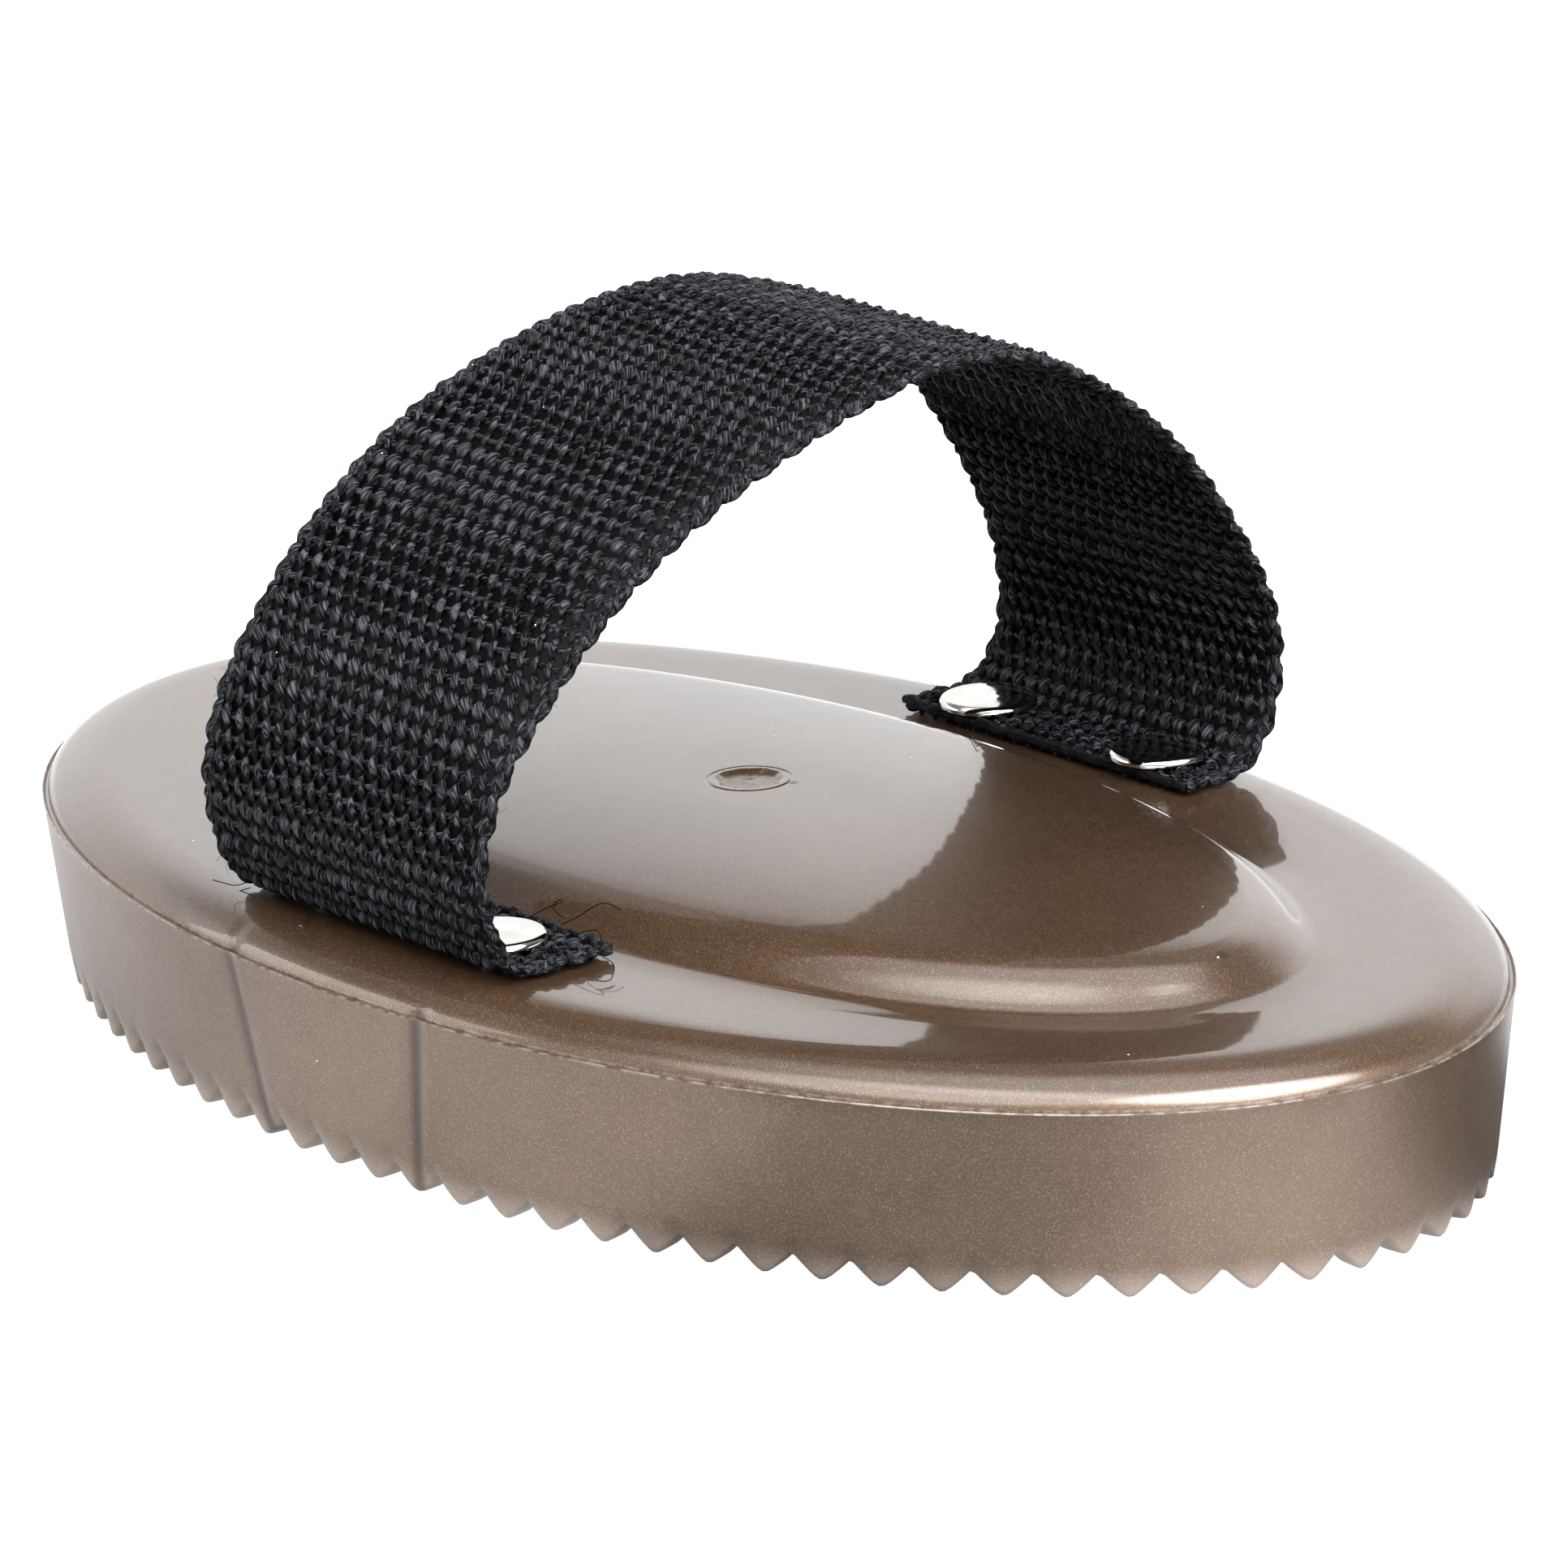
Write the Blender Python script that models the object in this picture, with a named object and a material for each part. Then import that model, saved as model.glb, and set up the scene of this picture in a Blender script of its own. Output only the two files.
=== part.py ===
"""Oval rubber curry brush: one toothed rubber moulding, a webbing hand strap and four capped rivets.

Metres, +Z up. The tooth tips stand on z = 0, +X is the long axis, and the strap crosses over along Y.
"""

from bisect import bisect_left
from math import cos, hypot, pi, sin

import bmesh
import bpy
from mathutils import Vector

MM = 0.001
GAP = 0.25 * MM  # between pieces that touch

# Outline of the moulding at its parting line, half sizes
HALF_LENGTH = 82.5 * MM
HALF_WIDTH = 48.0 * MM
PARTING_HEIGHT = 16.4 * MM
LEDGE = 0.5 * MM  # the wall stands this far outside the shoulder
WALL = 3.0 * MM
DRAFT = 1.9 * MM  # the wall leans in by this much down to the tooth tips

# Top: rounded shoulder, flat plate, low crowned dome
PLATE_HEIGHT = 19.4 * MM
SHOULDER_WIDTH = 6.0 * MM
SHOULDER_STEPS = 5
DOME_HALF_LENGTH = 63.6 * MM
DOME_HALF_WIDTH = 30.6 * MM
DOME_EDGE = [(0.0, 0.0), (1.0, 0.25), (2.0, 1.05), (3.0, 1.95), (4.2, 2.65), (6.0, 3.2)]  # inset, rise (mm)
DOME_RISE = 5.1 * MM
CROWN_STEPS = 3

# Underside: ceiling below plate and dome, and two more toothed rings
SKIN = 3.2 * MM
TEETH = 77
TOOTH_PHASE = 0.61  # of the pitch, from the +X end round to the first tooth
TOOTH_HEIGHT = 2.1 * MM
TIP_SHARE = 0.24  # of the tooth pitch
RINGS = [  # half length, half width, teeth, height where the ring is sunk in the ceiling
    (62.0 * MM, 28.6 * MM, 55, 19.4 * MM),
    (47.0 * MM, 14.0 * MM, 35, 22.0 * MM),
]
RING_WALL = 2.6 * MM

# Gusset ribs on the inside of the wall, either side of each strap end
RIB_TOP_X = 13.0 * MM
RIB_FOOT_X = 9.5 * MM
RIB_THICK = 2.0 * MM
RIB_DEPTH = 2.0 * MM
RIB_FOOT_HEIGHT = 3.0 * MM

# Rivets
RIVET_X = 11.6 * MM
RIVET_Y = 37.4 * MM
CAP_RADIUS = 4.0 * MM
CAP_HEIGHT = 1.0 * MM
POST_RADIUS = 1.5 * MM
HOLE_RADIUS = POST_RADIUS + 0.3 * MM
PRESSED = 0.45 * MM  # how far a cap sinks into the webbing
SOCKET_HEIGHT = 1.3 * MM
TURNED_SIDES = 20

# Strap
STRAP_WIDTH = 39.0 * MM
STRAP_THICK = 1.4 * MM
STRAP_STEPS = 72
FRONT_TAB_END = 31.0 * MM
REAR_TAB_END = 34.0 * MM
TAB_MIDDLE = PLATE_HEIGHT + GAP + STRAP_THICK / 2
# Webbing from the front tab (-Y), over the hand, to the rear tab: y and z of its middle, and how far
# its -X edge stands out of the arch, in mm, while the +X edge stands in by as much
ARCH = [
    (-40.3, 20.5, 0.0), (-42.1, 22.0, 0.0), (-43.4, 25.0, 0.0), (-44.2, 29.0, 0.0), (-43.7, 33.0, 0.1),
    (-41.8, 37.6, 0.3), (-37.6, 43.0, 0.7), (-31.0, 49.7, 1.1), (-22.0, 55.8, 1.3), (-12.0, 60.0, 1.3),
    (-2.0, 62.8, 1.0), (8.0, 64.0, 0.4), (17.0, 62.6, 0.1), (26.0, 58.3, 0.3), (34.6, 51.2, 0.5),
    (40.6, 42.9, 0.3), (44.2, 35.8, 0.1), (45.4, 30.2, 0.3), (44.9, 25.6, 0.6), (43.2, 22.4, 0.5),
    (40.6, 20.5, 0.1),
]


# --- general helpers -------------------------------------------------------

def clear_scene():
    for thing in list(bpy.data.objects):
        bpy.data.objects.remove(thing, do_unlink=True)


def material(name, colour, roughness, metallic=0.0):
    made = bpy.data.materials.new(name)
    made.use_nodes = True
    shader = made.node_tree.nodes["Principled BSDF"]
    shader.inputs["Base Color"].default_value = (*colour, 1.0)
    shader.inputs["Roughness"].default_value = roughness
    shader.inputs["Metallic"].default_value = metallic
    return made


def to_object(name, bm, finish=None):
    """Put a finished bmesh into the scene as one smooth-shaded object."""
    mesh = bpy.data.meshes.new(name)
    bm.to_mesh(mesh)
    bm.free()
    mesh.shade_smooth()
    mesh.set_sharp_from_angle(angle=0.6)
    made = bpy.data.objects.new(name, mesh)
    bpy.context.collection.objects.link(made)
    if finish:
        mesh.materials.append(finish)
    return made


def cut_or_join(target, tool, operation):
    tool.hide_render = True
    tool.display_type = "WIRE"
    step = target.modifiers.new(tool.name, "BOOLEAN")
    step.operation = operation
    step.solver = "EXACT"
    step.object = tool


def oval_point(angle, half_length, half_width, inset=0.0):
    """A point on an ellipse, moved inwards along its normal."""
    x, y = half_length * cos(angle), half_width * sin(angle)
    nx, ny = cos(angle) / half_length, sin(angle) / half_width
    size = hypot(nx, ny)
    return x - inset * nx / size, y - inset * ny / size


def even_angle(half_length, half_width, samples=2880):
    """A function from a share of the way round an ellipse to the angle there."""
    lengths = [0.0]
    for i in range(samples):
        x0, y0 = oval_point(2 * pi * i / samples, half_length, half_width)
        x1, y1 = oval_point(2 * pi * (i + 1) / samples, half_length, half_width)
        lengths.append(lengths[-1] + hypot(x1 - x0, y1 - y0))

    def angle(share):
        turns = share // 1
        wanted = (share - turns) * lengths[-1]
        i = min(max(bisect_left(lengths, wanted), 1), samples)
        part = (wanted - lengths[i - 1]) / (lengths[i] - lengths[i - 1])
        return 2 * pi * (turns + (i - 1 + part) / samples)

    return angle


def ring(bm, angles, half_length, half_width, inset, heights):
    if isinstance(heights, float):
        heights = [heights] * len(angles)
    points = (oval_point(angle, half_length, half_width, inset) for angle in angles)
    return [bm.verts.new((x, y, z)) for (x, y), z in zip(points, heights)]


def bridge(bm, start, end):
    """Faces from one ring to the next; either may have three times the other's points, or be one point."""
    count = min(len(r) for r in (start, end) if len(r) > 1)
    for i in range(count):
        edge = []
        for row in (start, end):
            per = len(row) // count
            edge.append([row[(i * per + k) % len(row)] for k in range(per + 1)] if len(row) > 1 else row)
        bm.faces.new(edge[0] + edge[1][::-1])


def loft(bm, rows, closed=False):
    for start, end in zip(rows, rows[1:] + rows[:1] if closed else rows[1:]):
        bridge(bm, start, end)
    bmesh.ops.triangulate(bm, faces=bm.faces[:])


def tooth_layout(half_length, half_width, teeth, phase=0.0):
    """Angles of the tooth gaps, and angles and heights of the saw edge."""
    angle = even_angle(half_length, half_width)
    gaps = [angle((k + phase - 0.5) / teeth) for k in range(teeth)]
    edge, heights = [], []
    for k in range(teeth):
        for place, height in ((-0.5, TOOTH_HEIGHT), (-TIP_SHARE / 2, 0.0), (TIP_SHARE / 2, 0.0)):
            edge.append(angle((k + phase + place) / teeth))
            heights.append(height)
    return gaps, edge, heights


def turned(name, profile, finish, place):
    """A closed solid of revolution about Z from (radius, height) points, listed from the foot outwards and up."""
    bm = bmesh.new()
    angles = [2 * pi * i / TURNED_SIDES for i in range(TURNED_SIDES)]
    rows = []
    for radius, height in profile:
        if radius == 0:
            rows.append([bm.verts.new((0, 0, height))])
        else:
            rows.append([bm.verts.new((radius * cos(a), radius * sin(a), height)) for a in angles])
    loft(bm, rows)
    made = to_object(name, bm, finish)
    made.location = place
    return made


# --- rubber moulding -------------------------------------------------------

def dome_rows(bm, angles, drop, start_inset=0.0):
    """Rings of the dome from its foot to the centre, lowered by drop for the ceiling below it."""
    rows = []
    for inset, rise in DOME_EDGE:
        height = PLATE_HEIGHT + rise * MM - drop
        rows.append(ring(bm, angles, DOME_HALF_LENGTH, DOME_HALF_WIDTH, inset * MM + start_inset, height))
    last_inset, last_rise = DOME_EDGE[-1][0] * MM + start_inset, DOME_EDGE[-1][1] * MM
    for k in range(1, CROWN_STEPS + 1):
        size = 1 - k / CROWN_STEPS
        height = PLATE_HEIGHT - drop + last_rise + (DOME_RISE - last_rise) * (1 - size ** 2)
        if k == CROWN_STEPS:
            rows.append([bm.verts.new((0, 0, height))])
            continue
        points = (oval_point(a, DOME_HALF_LENGTH, DOME_HALF_WIDTH, last_inset) for a in angles)
        rows.append([bm.verts.new((x * size, y * size, height)) for x, y in points])
    return rows


def moulding_shell():
    """Dome, plate, shoulder and toothed outer wall as one skin."""
    bm = bmesh.new()
    gaps, edge, heights = tooth_layout(HALF_LENGTH, HALF_WIDTH, TEETH, TOOTH_PHASE)

    def outline(angles, inset, height):
        return ring(bm, angles, HALF_LENGTH, HALF_WIDTH, inset, height)

    ceiling = PLATE_HEIGHT - SKIN
    rows = dome_rows(bm, gaps, SKIN, start_inset=0.6 * MM)[::-1]
    rows.append(outline(gaps, WALL + 0.3 * MM, ceiling))
    rows.append(outline(edge, DRAFT + WALL, heights))
    rows.append(outline(edge, DRAFT, heights))
    rows.append(outline(gaps, 0.0, PARTING_HEIGHT))
    for k in range(SHOULDER_STEPS + 1):
        turn = pi / 2 * k / SHOULDER_STEPS
        inset = LEDGE + SHOULDER_WIDTH * (1 - cos(turn))
        rows.append(outline(gaps, inset, PARTING_HEIGHT + (PLATE_HEIGHT - PARTING_HEIGHT) * sin(turn)))
    rows += dome_rows(bm, gaps, 0.0)
    loft(bm, rows)
    return bm


def toothed_ring(half_length, half_width, teeth, top):
    """A free ring of teeth whose top is sunk in the ceiling."""
    bm = bmesh.new()
    gaps, edge, heights = tooth_layout(half_length, half_width, teeth)
    inner, outer = RING_WALL, 0.0
    rows = [
        ring(bm, gaps, half_length, half_width, inner, top),
        ring(bm, edge, half_length, half_width, inner, heights),
        ring(bm, edge, half_length, half_width, outer, heights),
        ring(bm, gaps, half_length, half_width, outer, top),
    ]
    loft(bm, rows, closed=True)
    return bm


def rib(side_x, side_y):
    """A thin leaning wedge from the ceiling down the inside of the wall."""
    bm = bmesh.new()
    corners = []
    for x, z, lean in ((RIB_FOOT_X, RIB_FOOT_HEIGHT, DRAFT), (RIB_TOP_X, PLATE_HEIGHT - SKIN / 2, 0.4 * MM)):
        wall_y = HALF_WIDTH * (1 - (x / HALF_LENGTH) ** 2) ** 0.5 - lean - WALL
        for dx, y in (
            (-RIB_THICK / 2, wall_y - RIB_DEPTH), (RIB_THICK / 2, wall_y - RIB_DEPTH),
            (RIB_THICK / 2, wall_y + WALL / 2), (-RIB_THICK / 2, wall_y + WALL / 2),
        ):
            corners.append(bm.verts.new((side_x * (x + dx), side_y * y, z)))
    foot, top = corners[:4], corners[4:]
    bm.faces.new(foot)
    bm.faces.new(top)
    for i in range(4):
        bm.faces.new((foot[i], foot[(i + 1) % 4], top[(i + 1) % 4], top[i]))
    bmesh.ops.recalc_face_normals(bm, faces=bm.faces[:])
    return bm


def make_body(rivet_places, finish):
    body = to_object("curry_body", moulding_shell(), finish)
    for number, size in enumerate(RINGS, 1):
        cut_or_join(body, to_object(f"ring_{number}", toothed_ring(*size)), "UNION")
    for name, (x, y) in rivet_places.items():
        side_x, side_y = x / abs(x), y / abs(y)
        cut_or_join(body, to_object(f"rib_{name}", rib(side_x, side_y)), "UNION")
        hole = [(0, 0), (HOLE_RADIUS, 0), (HOLE_RADIUS, PLATE_HEIGHT), (0, PLATE_HEIGHT)]
        cutter = turned(f"body_hole_{name}", hole, None, (x, y, PLATE_HEIGHT / 2))
        cut_or_join(body, cutter, "DIFFERENCE")
    return body


# --- strap -----------------------------------------------------------------

def smooth_path(points, steps):
    """Even points along a Catmull-Rom curve through the given ones."""
    fine = []
    padded = [points[0] * 2 - points[1], *points, points[-1] * 2 - points[-2]]
    for p0, p1, p2, p3 in zip(padded, padded[1:], padded[2:], padded[3:]):
        for k in range(16):
            t = k / 16
            a = 2 * p1 + (p2 - p0) * t
            b = (2 * p0 - 5 * p1 + 4 * p2 - p3) * t ** 2
            c = (3 * p1 - p0 - 3 * p2 + p3) * t ** 3
            fine.append((a + b + c) / 2)
    fine.append(points[-1])
    lengths = [0.0]
    for start, end in zip(fine, fine[1:]):
        lengths.append(lengths[-1] + (end - start).length)
    path = []
    for k in range(steps + 1):
        wanted = lengths[-1] * k / steps
        i = min(max(bisect_left(lengths, wanted), 1), len(fine) - 1)
        part = (wanted - lengths[i - 1]) / (lengths[i] - lengths[i - 1])
        path.append(fine[i - 1].lerp(fine[i], part))
    return path


def make_strap(rivet_places, finish):
    """Webbing that lies flat on the plate at both ends and arches between them."""
    tab_bend = 38.0 * MM
    front = [Vector((-y, TAB_MIDDLE, 0.0)) for y in (FRONT_TAB_END, FRONT_TAB_END + 4 * MM, tab_bend)]
    rear = [Vector((y, TAB_MIDDLE, 0.0)) for y in (tab_bend, (tab_bend + REAR_TAB_END) / 2, REAR_TAB_END)]
    path = smooth_path(front + [Vector(point) * MM for point in ARCH] + rear, STRAP_STEPS)
    bm = bmesh.new()
    rows = []
    for i, (y, z, lean) in enumerate(path):
        along = (path[min(i + 1, STRAP_STEPS)] - path[max(i - 1, 0)]).xy.normalized()
        outwards = Vector((-along.y, along.x))
        corners = []
        for x, side in ((-1, -1), (1, -1), (1, 1), (-1, 1)):
            place = Vector((y, z)) + outwards * (side * STRAP_THICK / 2 - x * lean)
            corners.append(bm.verts.new((x * STRAP_WIDTH / 2, *place)))
        rows.append(corners)
    bm.faces.new(rows[0])
    bm.faces.new(rows[-1])
    loft(bm, rows)
    bmesh.ops.recalc_face_normals(bm, faces=bm.faces[:])
    strap = to_object("hand_strap", bm, finish)
    floor = PLATE_HEIGHT + GAP + STRAP_THICK - PRESSED
    for name, (x, y) in rivet_places.items():
        hole = [
            (0, -5 * MM), (HOLE_RADIUS, -5 * MM), (HOLE_RADIUS, 0), (CAP_RADIUS + GAP, 0),
            (CAP_RADIUS + GAP, 4 * MM), (0, 4 * MM),
        ]
        cut_or_join(strap, turned(f"strap_hole_{name}", hole, None, (x, y, floor)), "DIFFERENCE")
    return strap


# --- rivets ----------------------------------------------------------------

def make_rivet(name, x, y, finish):
    """A domed cap with its post from above, and a capped socket from below."""
    under_cap = PLATE_HEIGHT + GAP + STRAP_THICK - PRESSED + GAP
    socket_top = PLATE_HEIGHT - SKIN - GAP
    socket_floor = 0.5 * MM
    post_foot = socket_top - SOCKET_HEIGHT + socket_floor + GAP
    r, h = CAP_RADIUS, CAP_HEIGHT
    cap = [
        (0, post_foot - under_cap), (POST_RADIUS, post_foot - under_cap), (POST_RADIUS, 0), (r - 0.4 * MM, 0),
        (r, 0.35 * h), (r - 0.15 * MM, 0.62 * h), (r - 0.7 * MM, 0.84 * h), (r / 2, 0.97 * h), (0, h),
    ]
    turned(f"rivet_{name}", cap, finish, (x, y, under_cap))
    bore = HOLE_RADIUS
    socket = [
        (0, 0), (r - 0.5 * MM, 0), (r, 0.5 * MM), (r, SOCKET_HEIGHT - 0.3 * MM), (r - 0.3 * MM, SOCKET_HEIGHT),
        (bore, SOCKET_HEIGHT), (bore, socket_floor), (0, socket_floor),
    ]
    turned(f"socket_{name}", socket, finish, (x, y, socket_top - SOCKET_HEIGHT))


def main():
    clear_scene()
    rubber = material("bronze_rubber", (0.36, 0.26, 0.19), 0.25)
    webbing = material("black_webbing", (0.012, 0.012, 0.014), 0.8)
    nickel = material("polished_nickel", (0.78, 0.76, 0.73), 0.12, 1.0)
    places = {
        "front_left": (-RIVET_X, -RIVET_Y),
        "front_right": (RIVET_X, -RIVET_Y),
        "rear_left": (-RIVET_X, RIVET_Y),
        "rear_right": (RIVET_X, RIVET_Y),
    }
    make_body(places, rubber)
    make_strap(places, webbing)
    for name, (x, y) in places.items():
        make_rivet(name, x, y, nickel)


main()
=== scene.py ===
from math import cos, pi, sin

import bmesh
import bpy
import numpy as np
from mathutils import Matrix, Vector


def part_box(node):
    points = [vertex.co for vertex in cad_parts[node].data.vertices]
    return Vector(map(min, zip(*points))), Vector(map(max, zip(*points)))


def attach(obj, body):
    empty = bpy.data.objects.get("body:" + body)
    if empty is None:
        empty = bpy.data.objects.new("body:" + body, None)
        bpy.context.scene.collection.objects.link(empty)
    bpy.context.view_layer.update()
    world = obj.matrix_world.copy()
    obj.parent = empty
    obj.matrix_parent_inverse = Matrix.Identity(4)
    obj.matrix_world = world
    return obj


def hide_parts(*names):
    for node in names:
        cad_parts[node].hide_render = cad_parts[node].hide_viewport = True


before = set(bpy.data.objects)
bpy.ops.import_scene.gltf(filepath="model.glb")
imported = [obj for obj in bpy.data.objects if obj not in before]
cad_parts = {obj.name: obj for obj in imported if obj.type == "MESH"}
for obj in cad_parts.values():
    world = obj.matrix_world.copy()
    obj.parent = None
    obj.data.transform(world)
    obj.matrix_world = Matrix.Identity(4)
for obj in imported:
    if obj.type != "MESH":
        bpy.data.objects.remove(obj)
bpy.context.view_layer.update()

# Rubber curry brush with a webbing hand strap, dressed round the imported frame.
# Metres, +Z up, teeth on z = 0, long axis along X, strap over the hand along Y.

mm = 0.001
onlyBody = "root"


# Building node trees: a node with its inputs, and a number worked out from others

def addNode(tree, kind, inputs=None, **settings):
    made = tree.nodes.new(kind)
    for key, value in settings.items():
        setattr(made, key, value)
    for key, value in (inputs or {}).items():
        if isinstance(value, bpy.types.NodeSocket):
            tree.links.new(value, made.inputs[key])
        else:
            made.inputs[key].default_value = value
    return made


def calc(tree, operation, *values):
    return addNode(tree, "ShaderNodeMath", dict(enumerate(values)), operation=operation).outputs[0]


def calcVector(tree, operation, *values):
    inputs = dict(enumerate(values))
    if operation == "SCALE":
        inputs = {0: values[0], 3: values[1]}
    made = addNode(tree, "ShaderNodeVectorMath", inputs, operation=operation)
    return made.outputs[1 if operation in ("LENGTH", "DOT_PRODUCT") else 0]


def splitXYZ(tree, vector):
    return addNode(tree, "ShaderNodeSeparateXYZ", {0: vector}).outputs


def joinXYZ(tree, x=0.0, y=0.0, z=0.0):
    return addNode(tree, "ShaderNodeCombineXYZ", {0: x, 1: y, 2: z}).outputs[0]


def mixValue(tree, share, low, high):
    return addNode(tree, "ShaderNodeMix", {0: share, 2: low, 3: high}).outputs[0]


def mixColour(tree, share, low, high):
    low, high = ((*colour, 1) if isinstance(colour, tuple) else colour for colour in (low, high))
    return addNode(tree, "ShaderNodeMix", {0: share, 6: low, 7: high}, data_type="RGBA").outputs[2]


def spread(tree, value, fromLow, fromHigh, toLow=0.0, toHigh=1.0):
    inputs = {0: value, 1: fromLow, 2: fromHigh, 3: toLow, 4: toHigh}
    return addNode(tree, "ShaderNodeMapRange", inputs, interpolation_type="SMOOTHSTEP").outputs[0]


def noiseOf(tree, vector, scale, detail=2.0, roughness=0.5):
    return addNode(
        tree, "ShaderNodeTexNoise",
        {"Vector": vector, "Scale": scale, "Detail": detail, "Roughness": roughness},
    ).outputs[0]


def newTree(name, kind, inputs, outputs):
    # each input is named with its first number, or with the kind of thing that it takes
    tree = bpy.data.node_groups.new(name, kind)
    numberKinds = {int: "Int", float: "Float"}
    for label, value in inputs.items():
        isNumber = type(value) in numberKinds
        socketKind = "NodeSocket" + (numberKinds[type(value)] if isNumber else value)
        socket = tree.interface.new_socket(label, in_out="INPUT", socket_type=socketKind)
        if isNumber:
            socket.default_value = value
    for label, value in outputs.items():
        tree.interface.new_socket(label, in_out="OUTPUT", socket_type="NodeSocket" + value)
    return tree, tree.nodes.new("NodeGroupInput").outputs, tree.nodes.new("NodeGroupOutput").inputs


def newMaterial(name):
    made = bpy.data.materials.new(name)
    made.use_nodes = True
    return made, made.node_tree, made.node_tree.nodes["Principled BSDF"]


def setSockets(shader, values):
    for label, value in values.items():
        shader.inputs[label].default_value = value


def addObject(name, mesh, finish=None):
    made = bpy.data.objects.new(name, mesh)
    bpy.context.collection.objects.link(made)
    if finish:
        mesh.materials.clear()
        mesh.materials.append(finish)
    return made


def join(piece, slotName, *nodes):
    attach(piece, onlyBody)
    if nodes:
        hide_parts(*nodes)


# Rubber body, in millimetres until closedSweep

rubber = {
    "halfLength": 82.5, "halfWidth": 48.0,  # outline at the parting line, mm
    "parting": 16.4, "plate": 19.4,
    "ledge": 0.5, "shoulder": 6.0,
    "wall": 3.0, "draft": 1.9, "skin": 3.2,
    "flash": 0.07,  # thin bead left along the parting line
    "dome": (65.0, 30.8),
    "domeEdge": [(0.0, 0.0), (0.8, 0.2), (1.8, 1.05), (2.8, 2.0), (4.0, 2.75), (6.0, 3.3)],
    "domeRise": 5.1,
    "gateRadius": 3.8,
    "pits": [(60.9, 0.6, 0.75), (3.7, 1.9, 0.6)],  # x, y, radius of two small dark marks
    "teeth": 77, "toothPhase": 0.61, "toothHeight": 2.1, "tipRadius": 0.62,
    "rings": [(62.0, 28.6, 55), (47.0, 14.0, 35)],
    "ringWall": 2.6,
    "perTooth": 12,  # columns of faces to each tooth
    "tipEdge": [(0.62, 0.0), (0.26, 0.06), (0.06, 0.26), (0.0, 0.6)],  # inset and height round the tips
    "ribTopX": 13.0, "ribFootX": 9.5, "ribHalfWidth": 1.1, "ribDepth": 2.0,
    "sinkTopX": 13.1, "sinkFootX": 10.2, "sinkDepth": 0.22, "sinkWidth": 0.78,
    "gate": [  # radius, and height over the crown, of the moulding gate's mark
        (4.1, 0.0), (3.92, 0.0), (3.80, -0.01), (3.74, -0.06), (3.66, -0.06), (3.60, 0.0), (3.48, 0.02),
        (3.1, 0.02), (2.9, 0.0), (2.75, -0.08), (2.45, -0.32), (1.9, -0.42), (1.0, -0.34), (0.5, -0.30),
    ],
    "wallTones": ((0.104, 0.070, 0.050), (0.142, 0.098, 0.071)),  # ends of the clouds' range; painted light and shade: walls lighter, up-facing top darker
    "topTones": ((0.036, 0.018, 0.008), (0.048, 0.025, 0.012)),
    "flakeTone": (0.50, 0.41, 0.32), "thinTone": (0.62, 0.57, 0.53),
    # sink tone: painted shade in the shrink-line grooves
    "sinkTone": (0.045, 0.032, 0.026), "stainTone": (0.13, 0.115, 0.10),
    "pitTone": (0.02, 0.015, 0.012), "dustTone": (0.70, 0.68, 0.66),
}


def ovalArc(halfLength, halfWidth, steps=14400):
    # fine angles round an oval, and how far along its edge each of them is
    fine = np.linspace(0, 2 * pi, steps + 1)
    lengths = np.hypot(np.diff(halfLength * np.cos(fine)), np.diff(halfWidth * np.sin(fine)))
    return fine, np.concatenate([[0], np.cumsum(lengths)])


def evenAngles(halfLength, halfWidth, count):
    fine, along = ovalArc(halfLength, halfWidth)
    return np.interp(np.arange(count) / count * along[-1], along, fine)


def ovalRow(angles, halfLength, halfWidth, inset, height):
    x, y = halfLength * np.cos(angles), halfWidth * np.sin(angles)
    nx, ny = np.cos(angles) / halfLength, np.sin(angles) / halfWidth
    size = np.hypot(nx, ny)
    inset = np.broadcast_to(inset, angles.shape)
    height = np.broadcast_to(height, angles.shape)
    return np.stack([x - inset * nx / size, y - inset * ny / size, height], axis=1)


def toothEdge(angles, halfLength, halfWidth, teeth, phase, tip, rise):
    fine, along = ovalArc(halfLength, halfWidth)
    share = np.interp(angles, fine, along / along[-1])
    pitch = along[-1] / teeth
    place = (share * teeth - phase + 0.5) % 1 - 0.5
    away = np.abs(place) * pitch
    full = np.hypot(pitch / 2, tip) - tip
    return rise * (np.hypot(away, tip) - tip) / full


def domeHeight(inset):
    insets, rises = zip(*rubber["domeEdge"])
    fine = np.linspace(insets[0], insets[-1], 240)
    rough = np.interp(fine, insets, rises)
    reach = 30  # samples on each side that round a corner
    weights = np.hanning(2 * reach + 1)
    climb = (rough[-1] - rough[-reach]) * np.arange(1, reach + 1) / (2 * reach)
    padded = np.concatenate([np.full(reach, rough[0]), rough, rough[-1] + climb])
    soft = np.convolve(padded, weights / weights.sum(), mode="valid")
    return np.interp(inset, fine, soft - soft[0])


def sinkMarks(rows, wallRows):
    # shallow lines where the ribs inside have shrunk, on both long sides
    for row in wallRows:
        points = rows[row]
        share = np.clip(points[:, 2] / rubber["parting"], 0, 1.2)
        place = rubber["sinkFootX"] + (rubber["sinkTopX"] - rubber["sinkFootX"]) * share
        fade = np.clip((rubber["plate"] - points[:, 2]) / 3.5, 0, 1)
        off = (np.abs(points[:, 0]) - place) / rubber["sinkWidth"]
        points[:, 1] -= np.sign(points[:, 1]) * rubber["sinkDepth"] * fade * np.exp(-off ** 2)


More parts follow.
